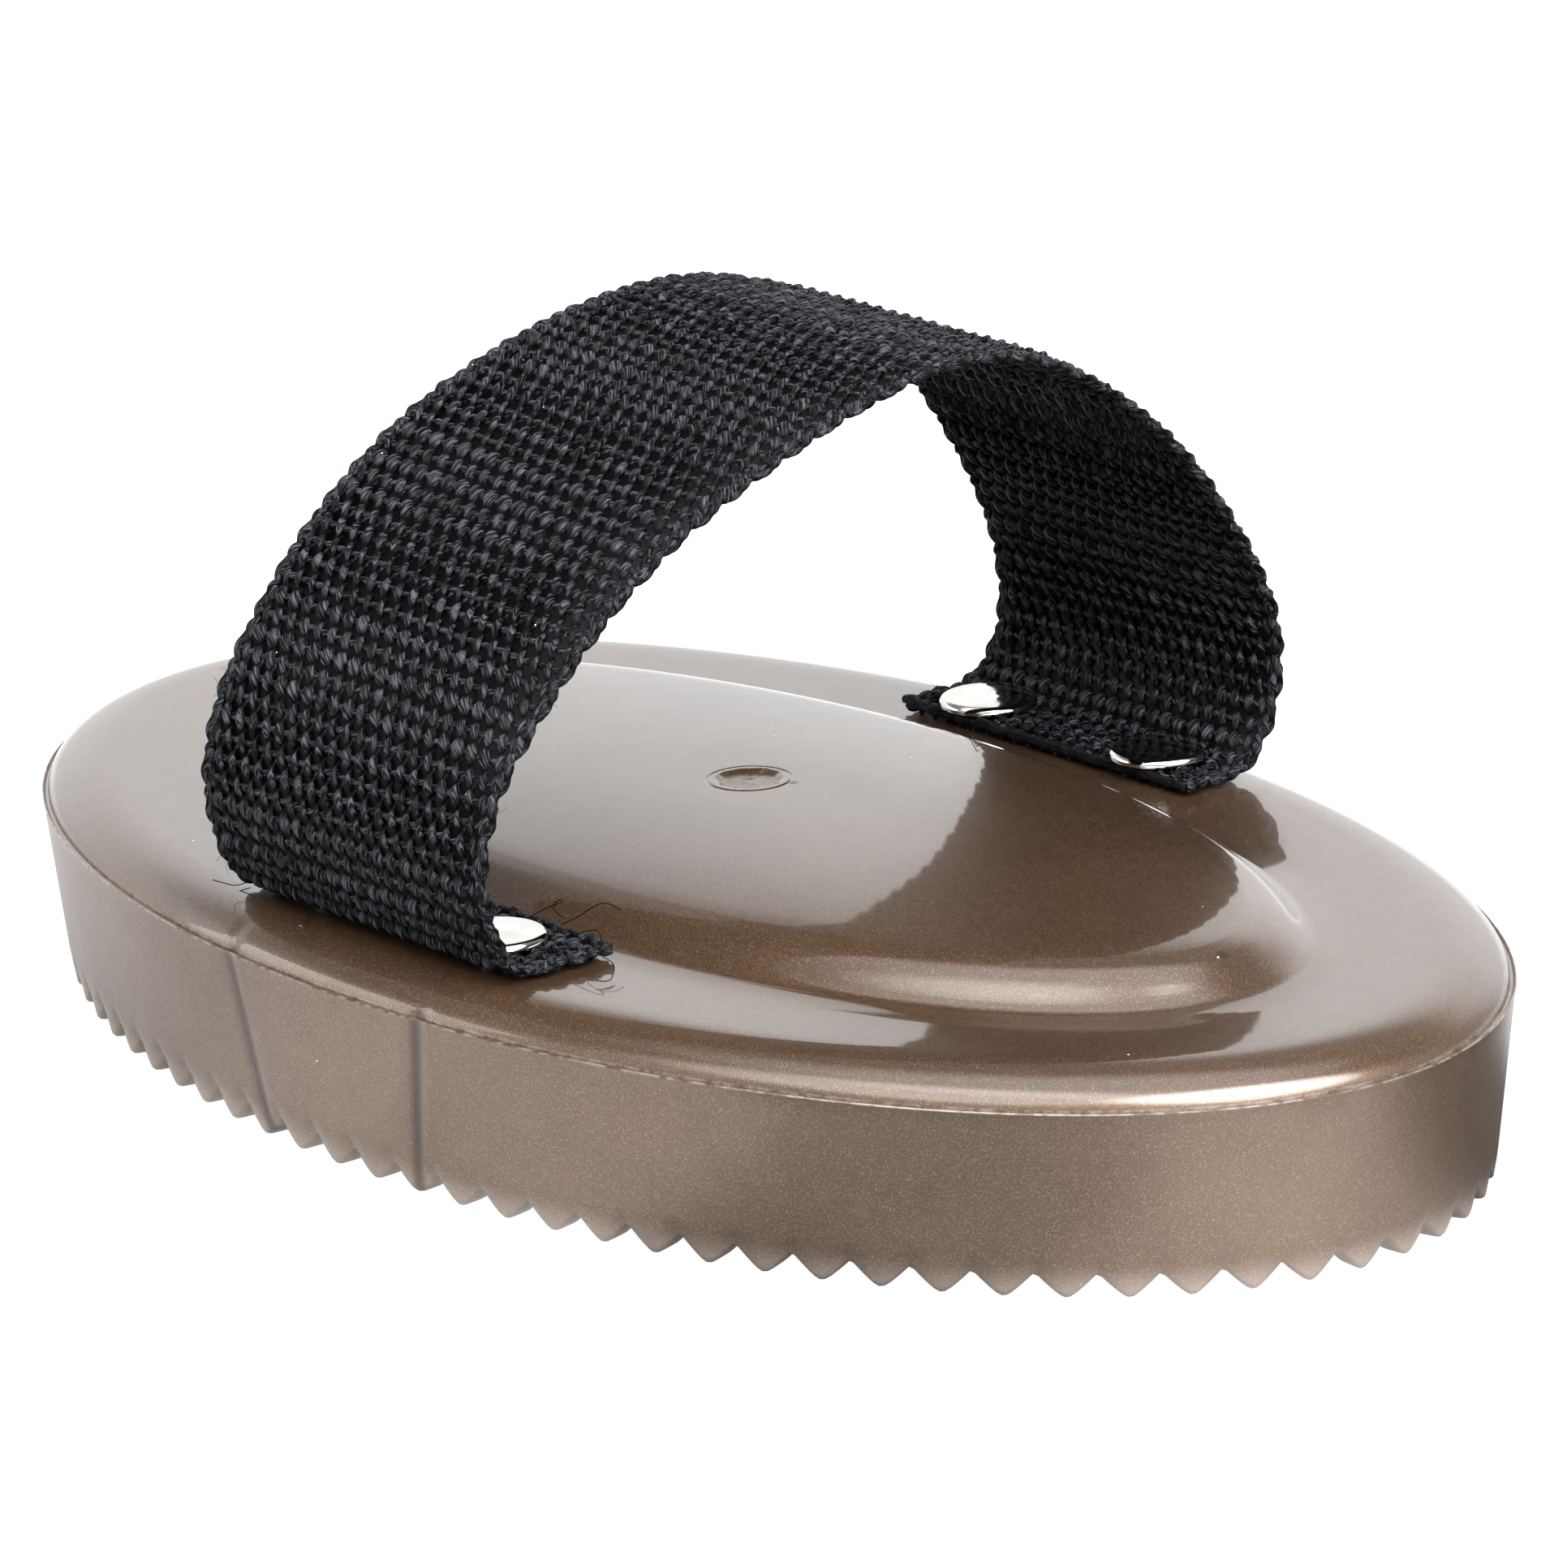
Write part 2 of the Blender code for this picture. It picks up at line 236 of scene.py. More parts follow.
def rubberRows():
    r = rubber
    outline = (r["halfLength"], r["halfWidth"])
    columns = r["teeth"] * r["perTooth"]
    angles = evenAngles(*outline, columns)
    tips = toothEdge(angles, *outline, r["teeth"], r["toothPhase"], r["tipRadius"], r["toothHeight"])
    rng = np.random.default_rng(7)
    ragged = np.convolve(np.tile(rng.random(columns), 3), np.ones(5) / 5, mode="same")[columns:2 * columns]
    top, parting = r["plate"], r["parting"]
    ceiling = top - r["skin"]
    hollow = ceiling + 2  # the underside is hollowed out under the dome
    rows, wallRows = [], []

    def outside(inset, height, marked=False):
        if marked:
            wallRows.append(len(rows))
        rows.append(ovalRow(angles, *outline, inset, height))

    def underRing(halfLength, halfWidth, teeth, wall):
        edge = toothEdge(angles, halfLength, halfWidth, teeth, 0.0, 0.5, r["toothHeight"])
        section = (  # inset, and height over the edge or, where it is None, up at the ceiling
            (wall, None), (wall, 0.35), (wall - 0.3, 0.0), (wall / 2, -0.05),
            (0.3, 0.0), (0.0, 0.35), (0.0, None),
        )
        for inset, lift in section:
            height = ceiling if lift is None else edge + lift
            rows.append(ovalRow(angles, halfLength, halfWidth, inset, np.maximum(height, 0)))

    # underside, from the middle outwards
    size = r["rings"][1]
    for share in (0.05, 0.35, 0.7):
        middle = ovalRow(angles, size[0] - r["ringWall"], size[1] - r["ringWall"], 0, hollow)
        rows.append(middle * [share, share, 1])
    for size in r["rings"][::-1]:
        underRing(*size, r["ringWall"])
    inner = r["draft"] + r["wall"]
    outside(r["wall"] + 0.6, ceiling)
    for share in np.linspace(1, 0, 6):
        height = tips + 0.5 + (ceiling - 0.6 - tips) * share
        inset = inner - r["draft"] * height / parting
        ribX = r["ribFootX"] + (r["ribTopX"] - r["ribFootX"]) * height / parting
        ribbed = np.exp(-((np.abs(outline[0] * np.cos(angles)) - ribX) / r["ribHalfWidth"]) ** 4)
        inset = inset + r["ribDepth"] * ribbed * np.clip((height - 3) / 2, 0, 1)
        rows.append(ovalRow(angles, *outline, inset, height))
    outside(inner - 0.5, tips + 0.02)
    outside(inner - 1.5, tips)
    # toothed wall, from the tips up
    for inset, lift in r["tipEdge"]:
        outside(r["draft"] + inset, tips + lift, marked=True)
    wallFoot, underBead = r["tipEdge"][-1][1], 0.35  # how far it keeps from tips and flash
    for share in np.linspace(0, 1, 15)[1:]:
        height = tips + wallFoot + (parting - underBead - tips - wallFoot) * share
        outside(r["draft"] * (1 - height / parting), height, marked=True)
    bead = r["flash"] * (0.25 + 1.1 * ragged)
    outside(-0.35 * bead, parting - 0.12, marked=True)
    outside(-bead, parting + 0.02 + 0.05 * ragged, marked=True)
    outside(0.08 - 0.2 * bead, parting + 0.10 + 0.10 * ragged, marked=True)
    outside(0.26, parting - 0.06, marked=True)
    # shoulder, plate, dome
    for turn in np.linspace(0, pi / 2, 12):
        inset = r["ledge"] + r["shoulder"] * (1 - cos(turn))
        outside(inset, parting + (top - parting) * sin(turn), marked=True)
    plateEdge, domeFoot = rows[-1], ovalRow(angles, *r["dome"], 0, top)
    for share in (0.3, 0.7):
        rows.append(plateEdge + (domeFoot - plateEdge) * share)
    edgeEnd = r["domeEdge"][-1][0]
    for inset in np.linspace(0, edgeEnd, 14):
        rows.append(ovalRow(angles, *r["dome"], inset, top + domeHeight(inset)))
    last = rows[-1]
    radius = r["gateRadius"] + 0.5
    circle = np.stack([radius * np.cos(angles), radius * np.sin(angles)], axis=1)
    start = top + domeHeight(edgeEnd)
    for share in np.linspace(0, 1, 13)[1:]:
        flat = last[:, :2] * (1 - share) + circle * share
        height = start + (top + r["domeRise"] - start) * (1 - (1 - share) ** 2)
        rows.append(np.column_stack([flat, np.full(columns, height)]))
    crown = top + r["domeRise"]
    grain = 0.5 + 0.5 * np.sin(3 * angles + 1.1) * np.sin(7 * angles)
    for radius, height in r["gate"]:
        uneven = radius * (1 + 0.07 * grain * (radius < 3))
        level = np.full(columns, crown + height)
        rows.append(np.column_stack([uneven * np.cos(angles), uneven * np.sin(angles), level]))
    sinkMarks(rows, wallRows)
    return rows, crown - 0.24, hollow


def closedSweep(name, rows, topPoint, footPoint, finish):
    # rows run from the middle of the underside, over the edge, to the middle of the top
    count = len(rows[0])
    points = np.concatenate([*rows, [[0, 0, footPoint], [0, 0, topPoint]]]) * mm
    here = np.arange(count)
    after = (here + 1) % count
    faces = []
    for row in range(len(rows) - 1):
        low, high = row * count, (row + 1) * count
        faces.append(np.stack([low + here, low + after, high + after, high + here], axis=1))
    quads = np.concatenate(faces)
    foot, top = len(points) - 2, len(points) - 1
    last = (len(rows) - 1) * count
    caps = [(foot, int(b), int(a)) for a, b in zip(here, after)]
    caps += [(top, last + int(a), last + int(b)) for a, b in zip(here, after)]
    mesh = bpy.data.meshes.new(name)
    mesh.from_pydata(points.tolist(), [], quads.tolist() + caps)
    mesh.shade_smooth()
    mesh.set_sharp_from_angle(angle=0.75)
    return addObject(name, mesh, finish)


def pearlGroup():
    # fine metallic flake under a clear skin, with slow clouds in its tone
    tree, give, take = newTree(
        "pearlFlake", "ShaderNodeTree",
        {"Vector": "Vector", "Flake size": 0.08, "Cloud size": 24.0},
        {"Sparkle": "Float", "Cloud": "Float", "Height": "Float"},
    )
    frequency = calc(tree, "DIVIDE", 1 / mm, give["Flake size"])
    cells = addNode(tree, "ShaderNodeTexVoronoi", {"Vector": give["Vector"], "Scale": frequency})
    picked = addNode(tree, "ShaderNodeSeparateColor", {0: cells.outputs["Color"]}).outputs[0]
    tree.links.new(spread(tree, picked, 0.78, 1.0), take["Sparkle"])
    tree.links.new(picked, take["Height"])
    cloud = noiseOf(tree, give["Vector"], calc(tree, "DIVIDE", 1 / mm, give["Cloud size"]), 6.0, 0.62)
    tree.links.new(spread(tree, cloud, 0.3, 0.7), take["Cloud"])
    return tree


def dustGroup():
    # a few tiny specks, each somewhere in its own cell
    tree, give, take = newTree(
        "dustSpecks", "ShaderNodeTree",
        {"Vector": "Vector", "Cell size": 1.3, "Share": 0.02},
        {"Mask": "Float"},
    )
    frequency = calc(tree, "DIVIDE", 1 / mm, give["Cell size"])
    cells = addNode(tree, "ShaderNodeTexVoronoi", {"Vector": give["Vector"], "Scale": frequency})
    picked, size = addNode(tree, "ShaderNodeSeparateColor", {0: cells.outputs["Color"]}).outputs[:2]
    there = calc(tree, "LESS_THAN", picked, give["Share"])
    reach = calc(tree, "MULTIPLY_ADD", size, 0.06, 0.03)
    near = calc(tree, "LESS_THAN", cells.outputs["Distance"], reach)
    tree.links.new(calc(tree, "MULTIPLY", there, near), take["Mask"])
    return tree


dustSpecks = dustGroup()


def rubberMaterial():
    made, tree, shader = newMaterial("pearlBronzeRubber")
    place = addNode(tree, "ShaderNodeTexCoord").outputs["Object"]
    x, y, z = splitXYZ(tree, place)
    pearl = addNode(tree, "ShaderNodeGroup", {"Vector": place}, node_tree=pearlGroup())
    normal = addNode(tree, "ShaderNodeNewGeometry").outputs["Normal"]
    facingUp = splitXYZ(tree, normal)[2]
    upward = spread(tree, facingUp, 0.15, 0.75)

    # thin tips and edges let light through, so they are paler
    tip = spread(tree, z, 3.4 * mm, 0.0)
    fromRim = calc(tree, "ABSOLUTE", calc(tree, "SUBTRACT", z, (rubber["parting"] + 0.15) * mm))
    rim = spread(tree, fromRim, 0.24 * mm, 0.05 * mm)
    rim = calc(tree, "MULTIPLY", rim, spread(tree, noiseOf(tree, place, 900.0, 2.0), 0.35, 0.6))
    pale = calc(tree, "MAXIMUM", calc(tree, "MULTIPLY", tip, 0.22), calc(tree, "MULTIPLY", rim, 0.16))

    # painted light and shade: the walls and the up-facing top take separate base tones, mixed by which way
    # the surface faces
    wall = mixColour(tree, pearl.outputs["Cloud"], *rubber["wallTones"])
    top = mixColour(tree, pearl.outputs["Cloud"], *rubber["topTones"])
    base = mixColour(tree, upward, wall, top)
    glitter = calc(tree, "MULTIPLY_ADD", upward, -0.13, 0.26)
    glitter = calc(tree, "MULTIPLY", pearl.outputs["Sparkle"], glitter)
    flaked = mixColour(tree, glitter, base, rubber["flakeTone"])
    skin = mixColour(tree, pale, flaked, rubber["thinTone"])

    # painted shade: the shallow shrink lines over the ribs, on both long sides, are painted dark
    slope = (rubber["sinkTopX"] - rubber["sinkFootX"]) / rubber["parting"]
    lineX = calc(tree, "MULTIPLY_ADD", z, slope, rubber["sinkFootX"] * mm)
    off = calc(tree, "ABSOLUTE", calc(tree, "SUBTRACT", calc(tree, "ABSOLUTE", x), lineX))
    line = spread(tree, off, 1.10 * mm, 0.15 * mm)
    line = calc(tree, "MULTIPLY", line, spread(tree, z, 19.2 * mm, 15.5 * mm))
    line = calc(tree, "MULTIPLY", line, spread(tree, calc(tree, "ABSOLUTE", y), 34 * mm, 41 * mm))
    skin = mixColour(tree, calc(tree, "MULTIPLY", line, 0.80), skin, rubber["sinkTone"])

    # stained dimple at the gate, in the middle of the dome
    fromGate = calcVector(tree, "LENGTH", joinXYZ(tree, x, y))
    wobble = calc(tree, "MULTIPLY_ADD", noiseOf(tree, place, 700.0, 3.0), 1.6 * mm, fromGate)
    stain = spread(tree, wobble, 3.5 * mm, 2.6 * mm)
    stain = calc(tree, "MULTIPLY", stain, spread(tree, z, 22 * mm, 23 * mm))
    stain = calc(tree, "MULTIPLY", stain, spread(tree, noiseOf(tree, place, 1100.0, 3.0, 0.7), 0.30, 0.50))
    skin = mixColour(tree, calc(tree, "MULTIPLY", stain, 0.8), skin, rubber["stainTone"])
    pit = 0.0
    for pitX, pitY, radius in rubber["pits"]:
        away = calcVector(tree, "SUBTRACT", place, (pitX * mm, pitY * mm, 0))
        reach = calcVector(tree, "LENGTH", calcVector(tree, "MULTIPLY", away, (1, 1, 0)))
        spot = spread(tree, reach, radius * mm, radius * 0.4 * mm)
        spot = calc(tree, "MULTIPLY", spot, spread(tree, z, 19.5 * mm, 20 * mm))
        pit = calc(tree, "MAXIMUM", pit, spot)
    skin = mixColour(tree, calc(tree, "MULTIPLY", pit, 0.8), skin, rubber["pitTone"])
    dust = addNode(
        tree, "ShaderNodeGroup", {"Vector": place, "Cell size": 1.3, "Share": 0.02}, node_tree=dustSpecks,
    )
    skin = mixColour(tree, dust.outputs["Mask"], skin, rubber["dustTone"])
    tree.links.new(skin, shader.inputs["Base Color"])

    rough = calc(tree, "SUBTRACT", mixValue(tree, upward, 0.42, 0.30), 0.04)
    rough = calc(tree, "MULTIPLY_ADD", noiseOf(tree, place, 260.0, 3.0), 0.08, rough)
    tree.links.new(rough, shader.inputs["Roughness"])
    metal = calc(tree, "MULTIPLY_ADD", upward, -0.45, 0.85)
    metal = calc(tree, "MULTIPLY", calc(tree, "SUBTRACT", 1.0, pale), metal)
    metal = calc(tree, "MULTIPLY", metal, calc(tree, "SUBTRACT", 1.0, stain))
    tree.links.new(metal, shader.inputs["Metallic"])

    # the moulded skin ripples slowly; flakes and fine pits catch the light
    ripple = noiseOf(tree, place, 55.0, 2.0)
    pits = noiseOf(tree, place, 2600.0, 2.0)
    flakeDepth = calc(tree, "MULTIPLY_ADD", upward, -0.012, 0.030)
    pitDepth = calc(tree, "MULTIPLY_ADD", upward, -0.015, 0.020)
    height = calc(tree, "MULTIPLY", ripple, 0.10)
    height = calc(tree, "MULTIPLY_ADD", pearl.outputs["Height"], flakeDepth, height)
    height = calc(tree, "MULTIPLY_ADD", pits, pitDepth, height)
    torn = calc(tree, "MULTIPLY", stain, noiseOf(tree, place, 1500.0, 3.0))
    height = calc(tree, "MULTIPLY_ADD", torn, 0.25, height)
    bump = addNode(tree, "ShaderNodeBump", {"Strength": 0.6, "Distance": mm, "Height": height})
    tree.links.new(bump.outputs[0], shader.inputs["Normal"])
    dulled = calc(tree, "MULTIPLY_ADD", calc(tree, "MAXIMUM", stain, pit), -0.75, 1.0)
    shine = calc(tree, "MULTIPLY", calc(tree, "MULTIPLY_ADD", upward, 0.62, 0.38), dulled)
    tree.links.new(shine, shader.inputs["Coat Weight"])
    setSockets(shader, {"Coat Roughness": 0.05, "Coat IOR": 1.55, "Specular IOR Level": 0.3})
    return made


bronze = rubberMaterial()
body = closedSweep("curryBody", *rubberRows(), bronze)
join(body, "bronze_rubber", "curry_body")
print("rubber body", len(body.data.polygons))


# Webbing strap: its path in the YZ plane, and the yarns that are laid along it

strap = {
    "width": 39.0, "frontTab": 31.0, "rearTab": 34.0, "bend": 38.0,  # mm
    "thick": 1.4, "rest": 19.65,  # underside of the tabs
    "arch": [  # y, z of the middle, and how far the -X edge stands out of the arch
        (-40.3, 20.5, 0.0), (-42.1, 22.0, 0.0), (-43.4, 25.0, 0.0), (-44.2, 29.0, 0.0), (-43.7, 33.0, 0.1),
        (-41.8, 37.6, 0.3), (-37.6, 43.0, 0.7), (-31.0, 49.7, 1.1), (-22.0, 55.8, 1.3), (-12.0, 60.0, 1.3),
        (-2.0, 62.8, 1.0), (8.0, 64.0, 0.4), (17.0, 62.6, 0.1), (26.0, 58.3, 0.3), (34.6, 51.2, 0.5),
        (40.6, 42.9, 0.3), (44.2, 35.8, 0.1), (45.4, 30.2, 0.3), (44.9, 25.6, 0.6), (43.2, 22.4, 0.5),
        (40.6, 20.5, 0.1),
    ],
    "pick": 1.85, "pitch": 0.93, "mainEnds": 38, "edgeEnds": 3, "edgePitch": 0.60,
    "floatWidth": 0.56, "floatThick": 0.31, "lift": 0.35, "uneven": 0.20,
    "stepsPerPick": 7,
    "slant": 0.26, "wander": 0.22, "fray": 0.4,  # how far yarns lean, stray sideways and end unevenly
    "edgeLift": 0.17, "edgeWidth": 0.42, "weftInset": 1.2, "coreInset": 1.0, "loopSteps": 14,
    "fibres": 320, "threadRadius": 0.045,
    "yarnTones": ((0.0004, 0.0004, 0.0005), (0.048, 0.051, 0.060)),  # painted shade between filaments, and painted glints on them
    "dustTone": (0.55, 0.55, 0.55),
}


def strapPath():
    level = strap["rest"] + strap["thick"] / 2
    front = [(-y, level, 0.0) for y in (strap["frontTab"], strap["frontTab"] + 4, strap["bend"])]
    halfway = (strap["bend"] + strap["rearTab"]) / 2
    rear = [(y, level, 0.0) for y in (strap["bend"], halfway, strap["rearTab"])]
    points = np.array(front + strap["arch"] + rear)
    padded = np.vstack([2 * points[0] - points[1], points, 2 * points[-1] - points[-2]])
    t = np.linspace(0, 1, 16, endpoint=False)[:, None]
    fine = []
    for p0, p1, p2, p3 in zip(padded, padded[1:], padded[2:], padded[3:]):
        bend, twist = 2 * p0 - 5 * p1 + 4 * p2 - p3, 3 * p1 - p0 - 3 * p2 + p3
        fine.append(0.5 * (2 * p1 + (p2 - p0) * t + bend * t ** 2 + twist * t ** 3))
    return np.vstack(fine + [points[-1:]])


def strapEdges():
    # two chains of points, the -X edge and the +X edge, for the yarns to follow
    path = strapPath()
    along = np.gradient(path[:, :2], axis=0)
    along /= np.linalg.norm(along, axis=1)[:, None]
    outwards = np.column_stack([-along[:, 1], along[:, 0]])
    points, edges = [], []
    for side in (-1, 1):
        flat = path[:, :2] - side * outwards * path[:, 2:]
        start = len(points)
        points += [(side * strap["width"] / 2 * mm, y * mm, z * mm) for y, z in flat]
        edges += [(i, i + 1) for i in range(start, start + len(flat) - 1)]
    mesh = bpy.data.meshes.new("strapEdges")
    mesh.from_pydata(points, edges, [])
    steps = np.linalg.norm(np.diff(path[:, :2], axis=0), axis=1)
    return mesh, float(steps.sum())


edgeMesh, strapLength = strapEdges()
print("strap length", round(strapLength, 1), "mm")


def positionXYZ(tree):
    return splitXYZ(tree, addNode(tree, "GeometryNodeInputPosition").outputs[0])


def wrapGroup():
    # lays flat work (x across, y along, z up) onto the strap's path
    tree, give, take = newTree(
        "layOnStrap", "GeometryNodeTree",
        {
            "Geometry": "Geometry", "Edges": "Geometry", "Width": strap["width"] * mm,
            "Length": strapLength * mm,
        },
        {"Geometry": "Geometry"},
    )
    x, y, z = positionXYZ(tree)
    chains = addNode(tree, "GeometryNodeMeshToCurve", {0: give["Edges"]}).outputs[0]
    share = calc(tree, "DIVIDE", y, give["Length"])
    held = calc(tree, "MINIMUM", calc(tree, "MAXIMUM", share, 0.0), 1.0)
    beyond = calc(tree, "MULTIPLY", calc(tree, "SUBTRACT", share, held), give["Length"])
    places, runs = [], []
    for index in (0, 1):
        chain = addNode(
            tree, "GeometryNodeSampleCurve", {"Curves": chains, "Factor": held, "Curve Index": index},
            mode="FACTOR", use_all_curves=False,
        )
        places.append(chain.outputs["Position"])
        runs.append(chain.outputs["Tangent"])
    across = calc(tree, "ADD", calc(tree, "DIVIDE", x, give["Width"]), 0.5)

    def between(pair):
        return addNode(
            tree, "ShaderNodeMix", {0: across, 4: pair[0], 5: pair[1]}, data_type="VECTOR",
            clamp_factor=False,
        ).outputs[1]

    run = calcVector(tree, "NORMALIZE", between(runs))
    out = calcVector(tree, "NORMALIZE", calcVector(tree, "CROSS_PRODUCT", (1, 0, 0), run))
    moved = calcVector(tree, "ADD", between(places), calcVector(tree, "SCALE", out, z))
    moved = calcVector(tree, "ADD", moved, calcVector(tree, "SCALE", run, beyond))
    laid = addNode(
        tree, "GeometryNodeSetPosition", {"Geometry": give["Geometry"], "Position": moved},
    ).outputs[0]
    tree.links.new(laid, take["Geometry"])
    return tree


layOnStrap = wrapGroup()


def storeAttribute(tree, geometry, name, value, kind="FLOAT"):
    return addNode(
        tree, "GeometryNodeStoreNamedAttribute",
        {"Geometry": geometry, "Name": name, "Value": value}, data_type=kind, domain="POINT",
    ).outputs[0]


def readAttribute(tree, name):
    return addNode(tree, "GeometryNodeInputNamedAttribute", {"Name": name}, data_type="FLOAT").outputs[0]


def roundProfile(tree, sides, radius):
    # a yarn's section, which remembers how far across the yarn each point is
    ring = {"Resolution": sides, "Radius": radius}
    profile = addNode(tree, "GeometryNodeCurvePrimitiveCircle", ring, mode="RADIUS").outputs[0]
    return storeAttribute(tree, profile, "side", positionXYZ(tree)[0])


def tubesAlong(tree, curves, profile, **more):
    inputs = {"Curve": curves, "Profile Curve": profile, "Fill Caps": True, **more}
    return addNode(tree, "GeometryNodeCurveToMesh", inputs).outputs[0]


def storeStrand(tree, yarns, side, number):
    # a place on its own yarn for every point: across it, along it, and which yarn it is
    strand = joinXYZ(tree, side, readAttribute(tree, "along"), number)
    return storeAttribute(tree, yarns, "strand", strand, "FLOAT_VECTOR")


def layAndFinish(tree, part, give, smooth=True):
    inputs = {"Geometry": part, "Edges": give["Geometry"]}
    laid = addNode(tree, "GeometryNodeGroup", inputs, node_tree=layOnStrap).outputs[0]
    if smooth:
        laid = addNode(tree, "GeometryNodeSetShadeSmooth", {0: laid}).outputs[0]
    laid = addNode(tree, "GeometryNodeRealizeInstances", {0: laid}).outputs[0]
    inputs = {"Geometry": laid, "Material": give["Finish"]}
    return addNode(tree, "GeometryNodeSetMaterial", inputs).outputs[0]


def yarnTree():
    # warp yarns of a plain weave: each end rides over one pick and under the next
    tree, give, take = newTree(
        "warpYarns", "GeometryNodeTree",
        {
            "Geometry": "Geometry", "Ends": 14, "First end": 0, "First place": 0.0, "Pitch": 0.85 * mm,
            "Pick": 1.11 * mm, "Length": 0.16, "Steps": 560, "Lift": 0.3 * mm, "Half width": 0.56 * mm,
            "Half thickness": 0.32 * mm, "Uneven": 0.2, "Fray": 0.5 * mm, "Finish": "Material",
        },
        {"Geometry": "Geometry"},
    )
    starts = addNode(tree, "GeometryNodeMeshLine", {
        "Count": give["Ends"],
        "Start Location": joinXYZ(tree, give["First place"]),
        "Offset": joinXYZ(tree, give["Pitch"]),
    }, mode="OFFSET").outputs[0]
    number = calc(tree, "ADD", addNode(tree, "GeometryNodeInputIndex").outputs[0], give["First end"])
    starts = storeAttribute(tree, starts, "end", number)
    straight = addNode(tree, "GeometryNodeCurvePrimitiveLine", {
        "Start": (0, 0, 0), "End": joinXYZ(tree, y=give["Length"]),
    }).outputs[0]
    straight = addNode(
        tree, "GeometryNodeResampleCurve", {"Curve": straight, "Count": give["Steps"]},
    ).outputs[0]
    yarns = addNode(tree, "GeometryNodeInstanceOnPoints", {"Points": starts, "Instance": straight}).outputs[0]
    yarns = addNode(tree, "GeometryNodeRealizeInstances", {0: yarns}).outputs[0]

    end = readAttribute(tree, "end")
    y = positionXYZ(tree)[1]
    turn = calc(tree, "MULTIPLY", calc(tree, "ADD", calc(tree, "DIVIDE", y, give["Pick"]), end), pi)
    wave = calc(tree, "COSINE", turn)
    seed = joinXYZ(tree, calc(tree, "MULTIPLY", end, 7.31), calc(tree, "MULTIPLY", y, 300.0))
    wander = calc(tree, "SUBTRACT", noiseOf(tree, seed, 1.0, 1.0), 0.5)
    otherSeed = calcVector(tree, "ADD", seed, (31.7, 5.3, 2.0))
    other = calc(tree, "SUBTRACT", noiseOf(tree, otherSeed, 1.0, 1.0), 0.5)
    lean = calc(tree, "MULTIPLY", calc(tree, "SINE", turn), -strap["slant"] * mm)
    sideways = calc(tree, "ADD", calc(tree, "MULTIPLY", wander, strap["wander"] * mm), lean)
    lift = calc(tree, "MULTIPLY_ADD", other, calc(tree, "MULTIPLY", give["Lift"], 0.5), give["Lift"])
    height = calc(tree, "MULTIPLY", wave, lift)
    endSeed = addNode(
        tree, "FunctionNodeRandomValue", {"ID": calc(tree, "ROUND", end), "Seed": 5}, data_type="FLOAT",
    ).outputs[1]
    fromMiddle = calc(tree, "SUBTRACT", calc(tree, "DIVIDE", y, give["Length"]), 0.5)
    stretch = calc(tree, "MULTIPLY", fromMiddle, calc(tree, "MULTIPLY", endSeed, give["Fray"]))
    shift = joinXYZ(tree, sideways, stretch, height)
    yarns = storeAttribute(tree, yarns, "along", y)
    yarns = storeAttribute(tree, yarns, "over", wave)
    yarns = addNode(tree, "GeometryNodeSetPosition", {"Geometry": yarns, "Offset": shift}).outputs[0]
    fullness = calc(tree, "MULTIPLY_ADD", calc(tree, "ABSOLUTE", wave), 0.36, 0.60)
    everyOther = calc(tree, "COSINE", calc(tree, "MULTIPLY", end, pi))
    fat = calc(tree, "MULTIPLY_ADD", everyOther, give["Uneven"], 1.0)
    fullness = calc(tree, "MULTIPLY", fullness, fat)
    yarns = addNode(tree, "GeometryNodeSetCurveRadius", {"Curve": yarns, "Radius": fullness}).outputs[0]

    section = roundProfile(tree, 8, 1.0)
    flat = joinXYZ(tree, give["Half width"], give["Half thickness"], 1.0)
    section = addNode(tree, "GeometryNodeTransform", {"Geometry": section, "Scale": flat}).outputs[0]
    tubes = tubesAlong(tree, yarns, section, Scale=fullness)
    side = calc(tree, "MULTIPLY", readAttribute(tree, "side"), 0.5 * mm)
    tubes = storeStrand(tree, tubes, side, calc(tree, "MULTIPLY", end, 0.013))
    tree.links.new(layAndFinish(tree, tubes, give), take["Geometry"])
    return tree


def runTree(name, carrier, tree, values):
    # sets the inputs by their identifiers, then keeps the result as a plain mesh
    holder = bpy.data.objects.new(name + "Guide", carrier)
    bpy.context.collection.objects.link(holder)
    step = holder.modifiers.new("nodes", "NODES")
    step.node_group = tree
    for item in tree.interface.items_tree:
        if item.item_type == "SOCKET" and item.in_out == "INPUT" and item.name in values:
            step[item.identifier] = values[item.name]
    bpy.context.view_layer.update()
    graph = bpy.context.evaluated_depsgraph_get()
    mesh = bpy.data.meshes.new_from_object(holder.evaluated_get(graph))
    mesh.name = name
    holder.modifiers.remove(step)
    bpy.data.objects.remove(holder)
    return addObject(name, mesh)


